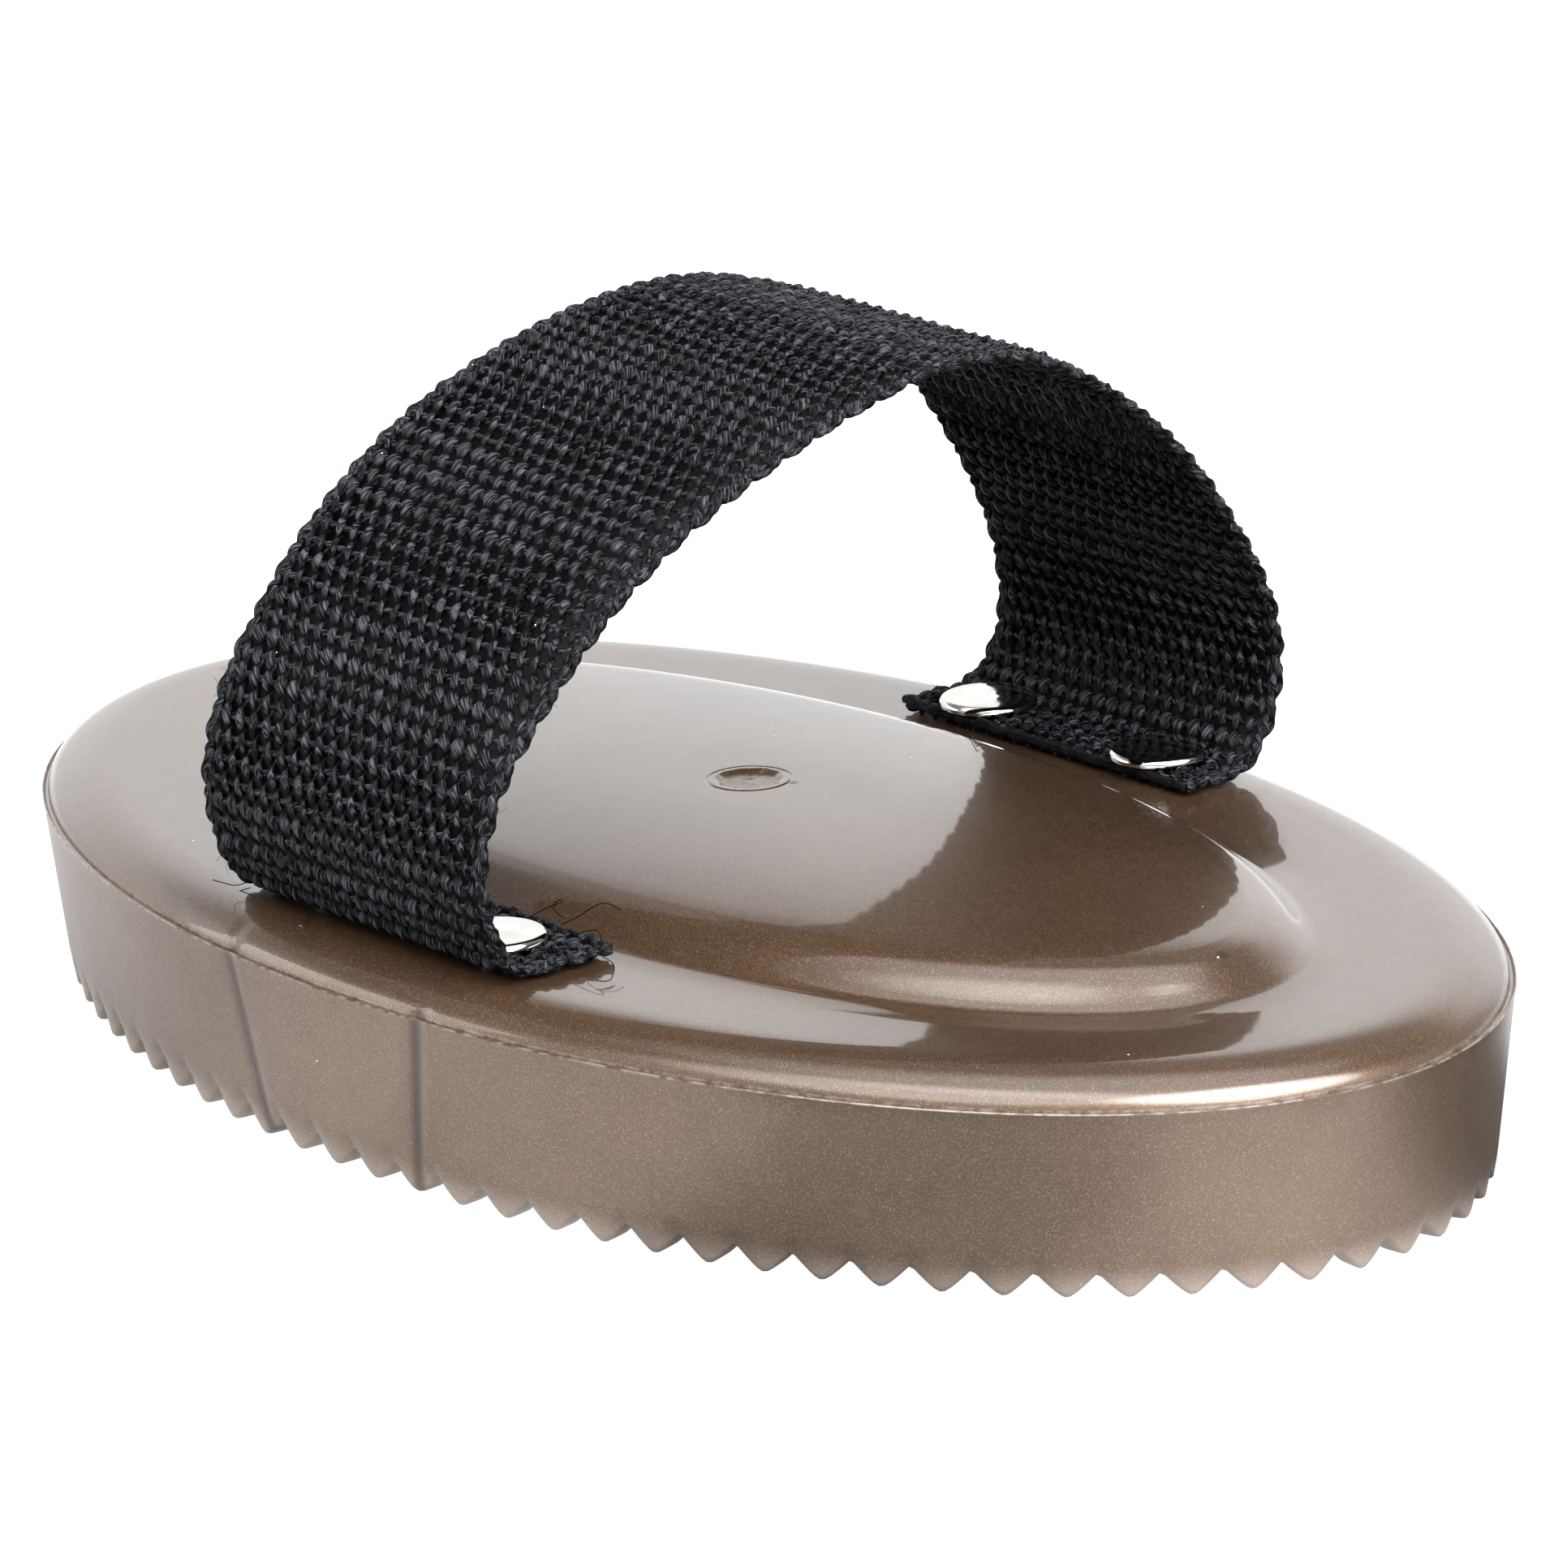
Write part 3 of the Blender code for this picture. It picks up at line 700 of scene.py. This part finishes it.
def webbingMaterial():
    made, tree, shader = newMaterial("blackPolypropyleneYarn")
    strand = addNode(tree, "ShaderNodeAttribute", attribute_name="strand").outputs["Vector"]
    over = addNode(tree, "ShaderNodeAttribute", attribute_name="over").outputs["Fac"]
    x, y, z = splitXYZ(tree, strand)
    # filaments twist round the yarn, so their lines slant
    slanted = calc(tree, "MULTIPLY_ADD", y, 0.55, x)
    lines = joinXYZ(
        tree, calc(tree, "MULTIPLY", slanted, 1 / (0.14 * mm)), calc(tree, "MULTIPLY", y, 1 / (1.3 * mm)),
        calc(tree, "MULTIPLY", z, 900.0),
    )
    filament = noiseOf(tree, lines, 1.0, 2.0, 0.6)
    # painted highlight: glints painted lighter along the filament lines, and painted shade where the yarn
    # passes between the picks
    shine = spread(tree, filament, 0.42, 0.74)
    shine = calc(tree, "MULTIPLY", shine, spread(tree, calc(tree, "ABSOLUTE", over), 0.15, 0.9))
    tone = mixColour(tree, shine, *strap["yarnTones"])
    body = addNode(tree, "ShaderNodeTexCoord").outputs["Object"]
    dust = addNode(
        tree, "ShaderNodeGroup", {"Vector": body, "Cell size": 0.9, "Share": 0.03}, node_tree=dustSpecks,
    )
    tone = mixColour(tree, dust.outputs["Mask"], tone, strap["dustTone"])
    tree.links.new(tone, shader.inputs["Base Color"])
    tree.links.new(calc(tree, "MULTIPLY_ADD", shine, -0.14, 0.46), shader.inputs["Roughness"])
    bump = addNode(tree, "ShaderNodeBump", {"Strength": 0.9, "Distance": 0.06 * mm, "Height": filament})
    tree.links.new(bump.outputs[0], shader.inputs["Normal"])
    setSockets(shader, {"IOR": 1.13, "Specular IOR Level": 0.5})
    return made


blackYarn = webbingMaterial()
warpYarns = yarnTree()
stepCount = int(strapLength / strap["pick"] * strap["stepsPerPick"]) + 1
yarnValues = {
    "Pick": strap["pick"] * mm, "Length": strapLength * mm, "Steps": stepCount,
    "Lift": strap["lift"] * mm, "Half width": strap["floatWidth"] * mm,
    "Half thickness": strap["floatThick"] * mm, "Uneven": strap["uneven"],
    "Fray": strap["fray"] * mm, "Finish": blackYarn,
}
thirds = np.array_split(np.arange(strap["mainEnds"]), 3)
for name, ends in zip(("webbingLeft", "webbingMiddle", "webbingRight"), thirds):
    firstPlace = (ends[0] - (strap["mainEnds"] - 1) / 2) * strap["pitch"] * mm
    piece = runTree(name, edgeMesh, warpYarns, {
        **yarnValues, "Ends": len(ends), "First end": int(ends[0]),
        "First place": float(firstPlace), "Pitch": strap["pitch"] * mm,
    })
    join(piece, "black_webbing", "hand_strap")
    print(name, len(piece.data.polygons))
for side, name in ((-1, "webbingEdgeLeft"), (1, "webbingEdgeRight")):
    inner = strap["mainEnds"] / 2 * strap["pitch"] + strap["edgePitch"] / 2
    outer = inner + (strap["edgeEnds"] - 1) * strap["edgePitch"]
    firstPlace = inner if side > 0 else -outer
    piece = runTree(name, edgeMesh, warpYarns, {
        **yarnValues, "Ends": strap["edgeEnds"],
        "First end": strap["mainEnds"] if side > 0 else -strap["edgeEnds"],
        "First place": firstPlace * mm, "Pitch": strap["edgePitch"] * mm,
        "Lift": strap["edgeLift"] * mm, "Half width": strap["edgeWidth"] * mm, "Uneven": 0.0,
    })
    join(piece, "black_webbing", "hand_strap")
    print(name, len(piece.data.polygons))


def weftTree():
    # picks that cross the strap, under the raised ends and over the sunk ones
    tree, give, take = newTree(
        "weftPicks", "GeometryNodeTree",
        {
            "Geometry": "Geometry", "Picks": 86, "Pick": 1.85 * mm, "Pitch": 0.93 * mm, "Middle": 18.5,
            "Width": 38 * mm, "Steps": 125, "Sway": 0.12 * mm, "Radius": 0.34 * mm, "Finish": "Material",
        },
        {"Geometry": "Geometry"},
    )
    starts = addNode(tree, "GeometryNodeMeshLine", {
        "Count": give["Picks"], "Offset": joinXYZ(tree, y=give["Pick"]),
    }, mode="OFFSET").outputs[0]
    starts = storeAttribute(tree, starts, "end", addNode(tree, "GeometryNodeInputIndex").outputs[0])
    half = calc(tree, "MULTIPLY", give["Width"], 0.5)
    run = addNode(tree, "GeometryNodeCurvePrimitiveLine", {
        "Start": joinXYZ(tree, calc(tree, "MULTIPLY", half, -1.0)),
        "End": joinXYZ(tree, half),
    }).outputs[0]
    run = addNode(tree, "GeometryNodeResampleCurve", {"Curve": run, "Count": give["Steps"]}).outputs[0]
    picks = addNode(tree, "GeometryNodeInstanceOnPoints", {"Points": starts, "Instance": run}).outputs[0]
    picks = addNode(tree, "GeometryNodeRealizeInstances", {0: picks}).outputs[0]
    number = readAttribute(tree, "end")
    x = positionXYZ(tree)[0]
    place = calc(tree, "ADD", calc(tree, "DIVIDE", x, give["Pitch"]), give["Middle"])
    place = calc(tree, "ADD", place, number)
    sway = calc(tree, "COSINE", calc(tree, "MULTIPLY", place, pi))
    sway = calc(tree, "MULTIPLY", sway, calc(tree, "MULTIPLY", give["Sway"], -1.0))
    seed = joinXYZ(tree, calc(tree, "MULTIPLY", x, 300.0), calc(tree, "MULTIPLY", number, 3.7))
    drift = calc(tree, "MULTIPLY", calc(tree, "SUBTRACT", noiseOf(tree, seed, 1.0, 1.0), 0.5), 0.25 * mm)
    picks = storeAttribute(tree, picks, "along", x)
    shift = joinXYZ(tree, y=drift, z=sway)
    picks = addNode(tree, "GeometryNodeSetPosition", {"Geometry": picks, "Offset": shift}).outputs[0]
    profile = roundProfile(tree, 6, give["Radius"])
    tubes = tubesAlong(tree, picks, profile)
    tubes = storeStrand(tree, tubes, readAttribute(tree, "side"), calc(tree, "MULTIPLY", number, 0.017))
    # a fixed 'over' sets how much painted glint the picks take
    tubes = storeAttribute(tree, tubes, "over", 0.75)
    tree.links.new(layAndFinish(tree, tubes, give), take["Geometry"])
    return tree


weft = runTree("webbingWeft", edgeMesh, weftTree(), {
    "Picks": int(strapLength / strap["pick"]) + 1, "Pick": strap["pick"] * mm,
    "Pitch": strap["pitch"] * mm, "Middle": (strap["mainEnds"] - 1) / 2,
    "Width": (strap["width"] - strap["weftInset"]) * mm, "Steps": strap["mainEnds"] * 3 + 1,
    "Finish": blackYarn,
})
join(weft, "black_webbing", "hand_strap")
print("webbing weft", len(weft.data.polygons))


def coreTree():
    # dark weft core between the yarns, painted at the yarn finish's darkest tone as the shade there, and the
    # weft turning back round both selvedges
    tree, give, take = newTree(
        "weftCore", "GeometryNodeTree",
        {
            "Geometry": "Geometry", "Width": 38.4 * mm, "Length": 0.16, "Thickness": 0.24 * mm,
            "Bead": 0.7 * mm, "Bead height": 0.85 * mm, "Pick": 1.85 * mm, "Loop radius": 0.16 * mm,
            "Yarn radius": 0.40 * mm, "Steps": 1600, "Finish": "Material",
        },
        {"Geometry": "Geometry"},
    )
    size = joinXYZ(tree, give["Width"], give["Length"], give["Thickness"])
    slab = addNode(
        tree, "GeometryNodeMeshCube", {"Size": size, "Vertices X": 6, "Vertices Y": 420, "Vertices Z": 2},
    ).outputs[0]
    half = joinXYZ(tree, y=calc(tree, "MULTIPLY", give["Length"], 0.5))
    slab = addNode(tree, "GeometryNodeTransform", {"Geometry": slab, "Translation": half}).outputs[0]
    # the slab stores no 'over', so it takes the darkest yarn tone: a dark sheet painted as the shade between
    # the yarns
    parts = [slab]
    # the cut ends are melted into a rough bead
    for end in (0.0, 1.0):
        bead = addNode(tree, "GeometryNodeMeshCube", {
            "Size": joinXYZ(tree, give["Width"], give["Bead"], give["Bead height"]),
            "Vertices X": 90, "Vertices Y": 3, "Vertices Z": 4,
        }).outputs[0]
        reach = joinXYZ(tree, y=calc(tree, "MULTIPLY", give["Length"], end))
        bead = addNode(tree, "GeometryNodeTransform", {"Geometry": bead, "Translation": reach}).outputs[0]
        spot = addNode(tree, "GeometryNodeInputPosition").outputs[0]
        lumps = addNode(
            tree, "ShaderNodeTexNoise", {"Vector": spot, "Scale": 1100.0, "Detail": 1.0},
        ).outputs["Color"]
        push = calcVector(tree, "SCALE", calcVector(tree, "SUBTRACT", lumps, (0.5, 0.5, 0.5)), 0.9 * mm)
        bead = addNode(tree, "GeometryNodeSetPosition", {"Geometry": bead, "Offset": push}).outputs[0]
        # a fixed 'over' sets how much painted glint the beads take
        parts.append(storeAttribute(tree, bead, "over", 0.55))
    for side in (-1, 1):
        run = addNode(tree, "GeometryNodeCurvePrimitiveLine", {
            "Start": (0, 0, 0), "End": joinXYZ(tree, y=give["Length"]),
        }).outputs[0]
        run = addNode(tree, "GeometryNodeResampleCurve", {"Curve": run, "Count": give["Steps"]}).outputs[0]
        y = positionXYZ(tree)[1]
        turn = calc(tree, "MULTIPLY", calc(tree, "DIVIDE", y, give["Pick"]), 2 * pi)
        inwards = calc(tree, "MULTIPLY", give["Loop radius"], 0.6)
        reach = calc(tree, "SUBTRACT", calc(tree, "MULTIPLY", give["Width"], 0.5), inwards)
        across = calc(tree, "MULTIPLY_ADD", calc(tree, "COSINE", turn), give["Loop radius"], reach)
        rise = calc(tree, "MULTIPLY", give["Loop radius"], 1.1)
        rise = calc(tree, "MULTIPLY", calc(tree, "SINE", turn), rise)
        shift = joinXYZ(tree, calc(tree, "MULTIPLY", across, float(side)), z=rise)
        run = storeAttribute(tree, run, "along", y)
        run = addNode(tree, "GeometryNodeSetPosition", {"Geometry": run, "Offset": shift}).outputs[0]
        profile = roundProfile(tree, 6, give["Yarn radius"])
        tube = tubesAlong(tree, run, profile)
        tube = storeStrand(tree, tube, readAttribute(tree, "side"), 0.3 * side)
        # a fixed 'over' sets how much painted glint the loops take
        parts.append(storeAttribute(tree, tube, "over", 0.8))
    joined = addNode(tree, "GeometryNodeJoinGeometry")
    for part in parts:
        tree.links.new(part, joined.inputs[0])
    tree.links.new(layAndFinish(tree, joined.outputs[0], give), take["Geometry"])
    return tree


core = runTree("webbingCore", edgeMesh, coreTree(), {
    "Width": (strap["width"] - strap["coreInset"]) * mm,
    "Length": strapLength * mm, "Pick": strap["pick"] * mm,
    "Steps": int(strapLength / strap["pick"] * strap["loopSteps"]), "Finish": blackYarn,
})
join(core, "black_webbing", "hand_strap")
print("webbing core", len(core.data.polygons))


def fuzzTree():
    # short broken fibres that stand off the selvedges and faces
    tree, give, take = newTree(
        "looseFibres", "GeometryNodeTree",
        {
            "Geometry": "Geometry", "Count": 200, "Width": 39 * mm, "Length": 0.16, "Reach": 1.0 * mm,
            "Thickness": 0.016 * mm, "Seed": 3, "Finish": "Material",
        },
        {"Geometry": "Geometry"},
    )

    def chance(low, high, offset):
        inputs = {2: low, 3: high, "Seed": calc(tree, "ADD", give["Seed"], float(offset))}
        return addNode(tree, "FunctionNodeRandomValue", inputs, data_type="FLOAT").outputs[1]

    points = addNode(
        tree, "GeometryNodeMeshLine", {"Count": give["Count"], "Offset": (0, 0, 0)}, mode="OFFSET",
    ).outputs[0]
    side = calc(tree, "SIGN", chance(-1.0, 1.0, 1))
    x = calc(tree, "MULTIPLY", side, calc(tree, "MULTIPLY", give["Width"], chance(0.42, 0.502, 2)))
    y = calc(tree, "MULTIPLY", give["Length"], chance(0.0, 1.0, 3))
    z = chance(-0.5 * mm, 0.62 * mm, 4)
    points = addNode(
        tree, "GeometryNodeSetPosition", {"Geometry": points, "Position": joinXYZ(tree, x, y, z)},
    ).outputs[0]
    bow = {
        "Start": (0, 0, 0), "Start Handle": (0.4, 0.1, 0.1),
        "End Handle": (0.7, 0.5, 0.25), "End": (0.75, 0.8, 0.3), "Resolution": 5,
    }
    hair = addNode(tree, "GeometryNodeCurvePrimitiveBezierSegment", bow).outputs[0]
    turnTo = addNode(
        tree, "FunctionNodeRandomValue", {0: (-0.8, -0.9, -1.5), 1: (0.8, 0.3, 1.5), "Seed": 12},
        data_type="FLOAT_VECTOR",
    ).outputs[0]
    flip = joinXYZ(tree, z=calc(tree, "MULTIPLY", calc(tree, "SUBTRACT", 1.0, side), pi / 2))
    size = calc(tree, "MULTIPLY", give["Reach"], chance(0.35, 1.25, 5))
    turned = calcVector(tree, "ADD", turnTo, flip)
    spots = {"Points": points, "Instance": hair, "Rotation": turned, "Scale": size}
    hairs = addNode(tree, "GeometryNodeInstanceOnPoints", spots).outputs[0]
    hairs = addNode(tree, "GeometryNodeRealizeInstances", {0: hairs}).outputs[0]
    ring = {"Resolution": 4, "Radius": give["Thickness"]}
    profile = addNode(tree, "GeometryNodeCurvePrimitiveCircle", ring, mode="RADIUS").outputs[0]
    tubes = tubesAlong(tree, hairs, profile)
    tree.links.new(layAndFinish(tree, tubes, give, smooth=False), take["Geometry"])
    return tree


fuzz = runTree("webbingFuzz", edgeMesh, fuzzTree(), {
    "Count": strap["fibres"], "Length": strapLength * mm, "Width": strap["width"] * mm, "Finish": blackYarn,
})
join(fuzz, "black_webbing", "hand_strap")
print("fuzz", len(fuzz.data.polygons))


looseThreads = [  # middles of torn warp threads lying about the cut ends: x, y, z in mm
    [
        (17.0, -33.6, 21.4), (18.4, -32.3, 22.5), (20.2, -32.6, 22.0), (21.0, -33.9, 21.0),
        (22.4, -33.2, 20.4), (23.6, -34.3, 19.9), (24.6, -35.6, 19.7), (23.6, -36.2, 19.8),
    ],
    [(13.0, -31.4, 21.2), (14.2, -30.2, 22.0), (15.6, -30.4, 23.0), (16.4, -29.0, 23.6), (17.4, -28.4, 22.8)],
    [
        (9.0, -31.6, 21.1), (9.6, -30.0, 21.8), (11.2, -29.6, 22.4), (12.0, -30.6, 23.2),
        (11.4, -31.4, 22.3), (12.6, -30.8, 21.6),
    ],
    [
        (-11.0, 34.6, 20.6), (-9.6, 33.2, 20.4), (-7.2, 31.2, 20.2), (-5.0, 29.4, 20.7), (-2.6, 27.6, 22.0),
        (0.0, 25.6, 22.8), (2.4, 23.9, 23.0), (3.9, 22.8, 23.2), (3.0, 23.9, 23.1),
    ],
    [(-12.0, 34.6, 20.8), (-13.0, 33.4, 20.6), (-12.0, 32.6, 21.2), (-13.4, 31.6, 21.4), (-14.6, 32.2, 20.9)],
    [
        (-17.6, -41.2, 20.6), (-18.6, -42.0, 20.0), (-19.3, -42.6, 20.2), (-18.7, -43.4, 20.6),
        (-19.6, -43.9, 20.8),
    ],
    [
        (-17.0, -41.8, 20.2), (-17.4, -42.8, 20.0), (-16.4, -43.3, 20.4), (-15.2, -42.7, 20.0),
        (-14.4, -43.4, 20.1),
    ],
    [(-9.0, -41.8, 20.2), (-8.4, -42.9, 20.0), (-7.4, -42.8, 20.3), (-6.6, -43.5, 20.1)],
]


def threadMesh():
    data = bpy.data.curves.new("looseThreads", "CURVE")
    data.dimensions = "3D"
    data.bevel_depth = strap["threadRadius"] * mm
    data.bevel_resolution = 1
    data.use_fill_caps = True
    for line in looseThreads:
        spline = data.splines.new("NURBS")
        spline.points.add(len(line) - 1)
        for point, place in zip(spline.points, line):
            point.co = (*(v * mm for v in place), 1)
        spline.use_endpoint_u = True
        spline.order_u = 3
    holder = bpy.data.objects.new("looseThreadsGuide", data)
    bpy.context.collection.objects.link(holder)
    bpy.context.view_layer.update()
    mesh = bpy.data.meshes.new_from_object(holder.evaluated_get(bpy.context.evaluated_depsgraph_get()))
    bpy.data.objects.remove(holder)
    return mesh


threads = addObject("looseThreads", threadMesh(), blackYarn)
join(threads, "black_webbing", "hand_strap")
print("loose threads", len(threads.data.polygons))


# Rivet caps above the plate and their sockets below it

rivet = {
    "radius": 4.5, "height": 1.0, "post": 1.5, "sides": 96,  # mm
    "rim": 0.55,  # how far in the cap's edge is rounded
    "socketRadius": 4.0, "socketFloor": 0.5,
    "tones": ((0.74, 0.73, 0.71), (0.64, 0.62, 0.59)),  # clean, and dulled by handling
}


def turnedMesh(name, profile, centre, finish, sides):
    # a closed solid of revolution from (radius, height) points, foot first, in mm
    bm = bmesh.new()
    rings = []
    for radius, height in profile:
        if radius == 0:
            rings.append([bm.verts.new((centre[0], centre[1], centre[2] + height * mm))])
            continue
        ring = []
        for i in range(sides):
            x = centre[0] + radius * mm * cos(2 * pi * i / sides)
            y = centre[1] + radius * mm * sin(2 * pi * i / sides)
            ring.append(bm.verts.new((x, y, centre[2] + height * mm)))
        rings.append(ring)
    for low, high in zip(rings, rings[1:]):
        for i in range(sides):
            after = i + 1
            corners = [low[i % len(low)], low[after % len(low)], high[after % len(high)], high[i % len(high)]]
            bm.faces.new(list(dict.fromkeys(corners)))  # three corners where a ring is a single point
    bmesh.ops.recalc_face_normals(bm, faces=bm.faces[:])
    mesh = bpy.data.meshes.new(name)
    bm.to_mesh(mesh)
    bm.free()
    mesh.shade_smooth()
    mesh.set_sharp_from_angle(angle=0.6)
    return addObject(name, mesh, finish)


def nickelMaterial():
    made, tree, shader = newMaterial("brightNickel")
    place = addNode(tree, "ShaderNodeTexCoord").outputs["Object"]
    handling = spread(tree, noiseOf(tree, place, 420.0, 3.0), 0.35, 0.75)
    stretched = addNode(
        tree, "ShaderNodeMapping", {"Vector": place, "Rotation": (0, 0, 0.7), "Scale": (9000, 500, 500)},
    ).outputs[0]
    scratch = spread(tree, noiseOf(tree, stretched, 1.0, 2.0), 0.62, 0.75)
    tone = mixColour(tree, handling, *rivet["tones"])
    tree.links.new(tone, shader.inputs["Base Color"])
    tree.links.new(calc(tree, "MULTIPLY_ADD", handling, 0.06, 0.06), shader.inputs["Roughness"])
    height = calc(tree, "MULTIPLY", noiseOf(tree, place, 300.0, 1.0), 0.12)
    height = calc(tree, "MULTIPLY_ADD", scratch, -0.004, height)
    bump = addNode(tree, "ShaderNodeBump", {"Strength": 0.7, "Distance": mm, "Height": height})
    tree.links.new(bump.outputs[0], shader.inputs["Normal"])
    setSockets(shader, {"Metallic": 1.0})
    return made


def capProfile(foot):
    radius, height, post, rim = rivet["radius"], rivet["height"], rivet["post"], rivet["rim"]
    rows = [(0, foot), (post - 0.3, foot), (post, foot + 0.3), (post, 0.0)]
    rows += [(radius - 0.5, 0.0), (radius - 0.15, 0.06)]
    for turn in np.linspace(-0.5, pi / 2, 9):
        rows.append((radius - rim + rim * cos(turn), 0.30 + (height - 0.42) * max(sin(turn), -0.3)))
    for share in (0.8, 0.6, 0.4, 0.2, 0.0):
        reach = (radius - rim) * share
        rows.append((reach, height - 0.12 + 0.12 * (1 - share ** 2)))
    return rows


def socketProfile(height):
    radius, floor, bore = rivet["socketRadius"], rivet["socketFloor"], rivet["post"] + 0.3
    return [
        (0, 0.0), (radius - 1.2, 0.02), (radius - 0.7, 0.08), (radius - 0.3, 0.25), (radius - 0.05, 0.55),
        (radius, height - 0.3), (radius - 0.1, height - 0.08), (radius - 0.3, height),
        (bore, height), (bore, floor), (0, floor),
    ]


nickel = nickelMaterial()
for node in sorted(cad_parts):
    kind = node.split("_")[0]
    if kind not in ("rivet", "socket"):
        continue
    low, high = (Vector(corner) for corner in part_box(node))
    centre = (low + high) / 2
    name = "".join([kind, *[word.capitalize() for word in node.split("_")[1:]]])
    if kind == "rivet":
        foot = high.z - rivet["height"] * mm  # where the cap sits on the webbing
        profile = capProfile((low.z - foot) / mm)
    else:
        foot = low.z
        profile = socketProfile((high.z - low.z) / mm)
    piece = turnedMesh(name, profile, (centre.x, centre.y, foot), nickel, rivet["sides"])
    join(piece, "polished_nickel", node)
print("rivets and sockets")


# Camera, floor and light

view = {
    "azimuth": 0.889,  # radians from straight ahead, towards +X
    "elevation": 0.295,
    "roll": -0.034,
    "distance": 0.8998,
    "target": (0.00472, 0.0, 0.025),
    "lens": 238.0,
}


def makeCamera():
    back = Vector((
        sin(view["azimuth"]) * cos(view["elevation"]),
        -cos(view["azimuth"]) * cos(view["elevation"]),
        sin(view["elevation"]),
    ))
    turned = back.to_track_quat("Z", "Y").to_matrix() @ Matrix.Rotation(view["roll"], 3, "Z")
    data = bpy.data.cameras.new("camera")
    data.lens = view["lens"]
    data.sensor_width = 36
    data.clip_start = 0.01
    camera = bpy.data.objects.new("camera", data)
    place = Vector(view["target"]) + back * view["distance"]
    camera.matrix_world = Matrix.Translation(place) @ turned.to_4x4()
    bpy.context.collection.objects.link(camera)
    bpy.context.scene.camera = camera


studio = {
    "behind": 1.34, "front": 0.52, "overhead": 0.28,  # brightness of the surround
    "flag": 0.85,  # how much of it a dark flag at the right end takes away
    "zenithBox": 2.3, "keyBox": 17.0, "frontBox": 5.0,  # soft boxes above, and high towards the right
    "behindWay": (-0.78, 0.63, 0.0), "flagWay": (0.71, 0.71, 0.0),
    "keyWay": (0.743, -0.026, 0.669), "frontWay": (0.12, -0.60, 0.79),
    "floorHalf": 2, "floorGlow": 0.48, "floorGrey": 0.19,
    "floorShade": [  # how much darker, or lighter, towards these sides
        ((0.90, 0.43, 0), 0.97), ((0.81, -0.59, 0), 0.58), ((0.985, -0.17, 0), -0.3),
        ((0.38, -0.92, 0), -0.35), ((-0.28, -0.96, 0), -0.3),
    ],
    "lamps": [  # name, place, size, watts; each looks at the brush
        ("leftPanel", (-0.85, -0.75, 0.20), 0.7, 4.0),
    ],
}


def makeFloor():
    made, tree, shader = newMaterial("paleFloor")
    seen = addNode(tree, "ShaderNodeLightPath").outputs["Is Camera Ray"]
    heading = calcVector(tree, "NORMALIZE", addNode(tree, "ShaderNodeTexCoord").outputs["Object"])
    tone = 1.0
    for direction, darkening in studio["floorShade"]:
        near = spread(tree, calcVector(tree, "DOT_PRODUCT", heading, direction), 0.93, 0.995)
        tone = calc(tree, "MULTIPLY", tone, calc(tree, "MULTIPLY_ADD", near, -darkening, 1.0))
    glow = calc(tree, "MULTIPLY", tone, studio["floorGlow"])
    tree.links.new(mixValue(tree, seen, glow, 1.0), shader.inputs["Emission Strength"])
    grey = calc(tree, "MULTIPLY", tone, studio["floorGrey"])
    grey = addNode(tree, "ShaderNodeCombineColor", {0: grey, 1: grey, 2: grey}).outputs[0]
    tree.links.new(grey, shader.inputs["Base Color"])
    setSockets(shader, {"Roughness": 0.6, "Emission Color": (1, 1, 1, 1)})
    mesh = bpy.data.meshes.new("floor")
    side = studio["floorHalf"]
    corners = [(-side, -side, 0), (side, -side, 0), (side, side, 0), (-side, side, 0)]
    mesh.from_pydata(corners, [], [(0, 1, 2, 3)])
    addObject("floor", mesh, made)


def makeLight():
    world = bpy.data.worlds.new("studio")
    world.use_nodes = True
    tree = world.node_tree
    heading = addNode(tree, "ShaderNodeTexCoord").outputs["Generated"]
    up = splitXYZ(tree, heading)[2]
    away = calcVector(tree, "DOT_PRODUCT", heading, studio["behindWay"])
    level = spread(tree, away, -0.2, 0.6, studio["front"], studio["behind"])
    flag = spread(tree, calcVector(tree, "DOT_PRODUCT", heading, studio["flagWay"]), 0.35, 0.85)
    level = calc(tree, "MULTIPLY", level, calc(tree, "MULTIPLY_ADD", flag, -studio["flag"], 1.0))
    level = calc(tree, "MULTIPLY", level, spread(tree, up, 0.02, 0.28, 0.82, 1.0))
    level = mixValue(tree, spread(tree, up, 0.42, 0.62), level, studio["overhead"])
    zenith = spread(tree, up, 0.80, 0.96, 0.0, studio["zenithBox"])
    key = calcVector(tree, "DOT_PRODUCT", heading, studio["keyWay"])
    key = spread(tree, key, 0.82, 0.95, 0.0, studio["keyBox"])
    fill = calcVector(tree, "DOT_PRODUCT", heading, studio["frontWay"])
    fill = spread(tree, fill, 0.82, 0.96, 0.0, studio["frontBox"])
    strength = calc(tree, "ADD", calc(tree, "ADD", level, zenith), calc(tree, "ADD", key, fill))
    seen = addNode(tree, "ShaderNodeLightPath").outputs["Is Camera Ray"]
    strength = mixValue(tree, seen, strength, 1.0)
    background = tree.nodes["Background"]
    background.inputs["Color"].default_value = (1, 1, 1, 1)
    tree.links.new(strength, background.inputs["Strength"])
    bpy.context.scene.world = world
    for name, place, size, watts in studio["lamps"]:
        data = bpy.data.lights.new(name, "AREA")
        data.size = size
        data.energy = watts
        lamp = bpy.data.objects.new(name, data)
        lamp.visible_camera = False
        aim = Vector(place) - Vector(view["target"])
        lamp.matrix_world = Matrix.Translation(place) @ aim.to_track_quat("Z", "Y").to_matrix().to_4x4()
        bpy.context.collection.objects.link(lamp)


makeCamera()
makeFloor()
makeLight()
bpy.context.scene.view_settings.view_transform = "Standard"
print("camera, floor and light")
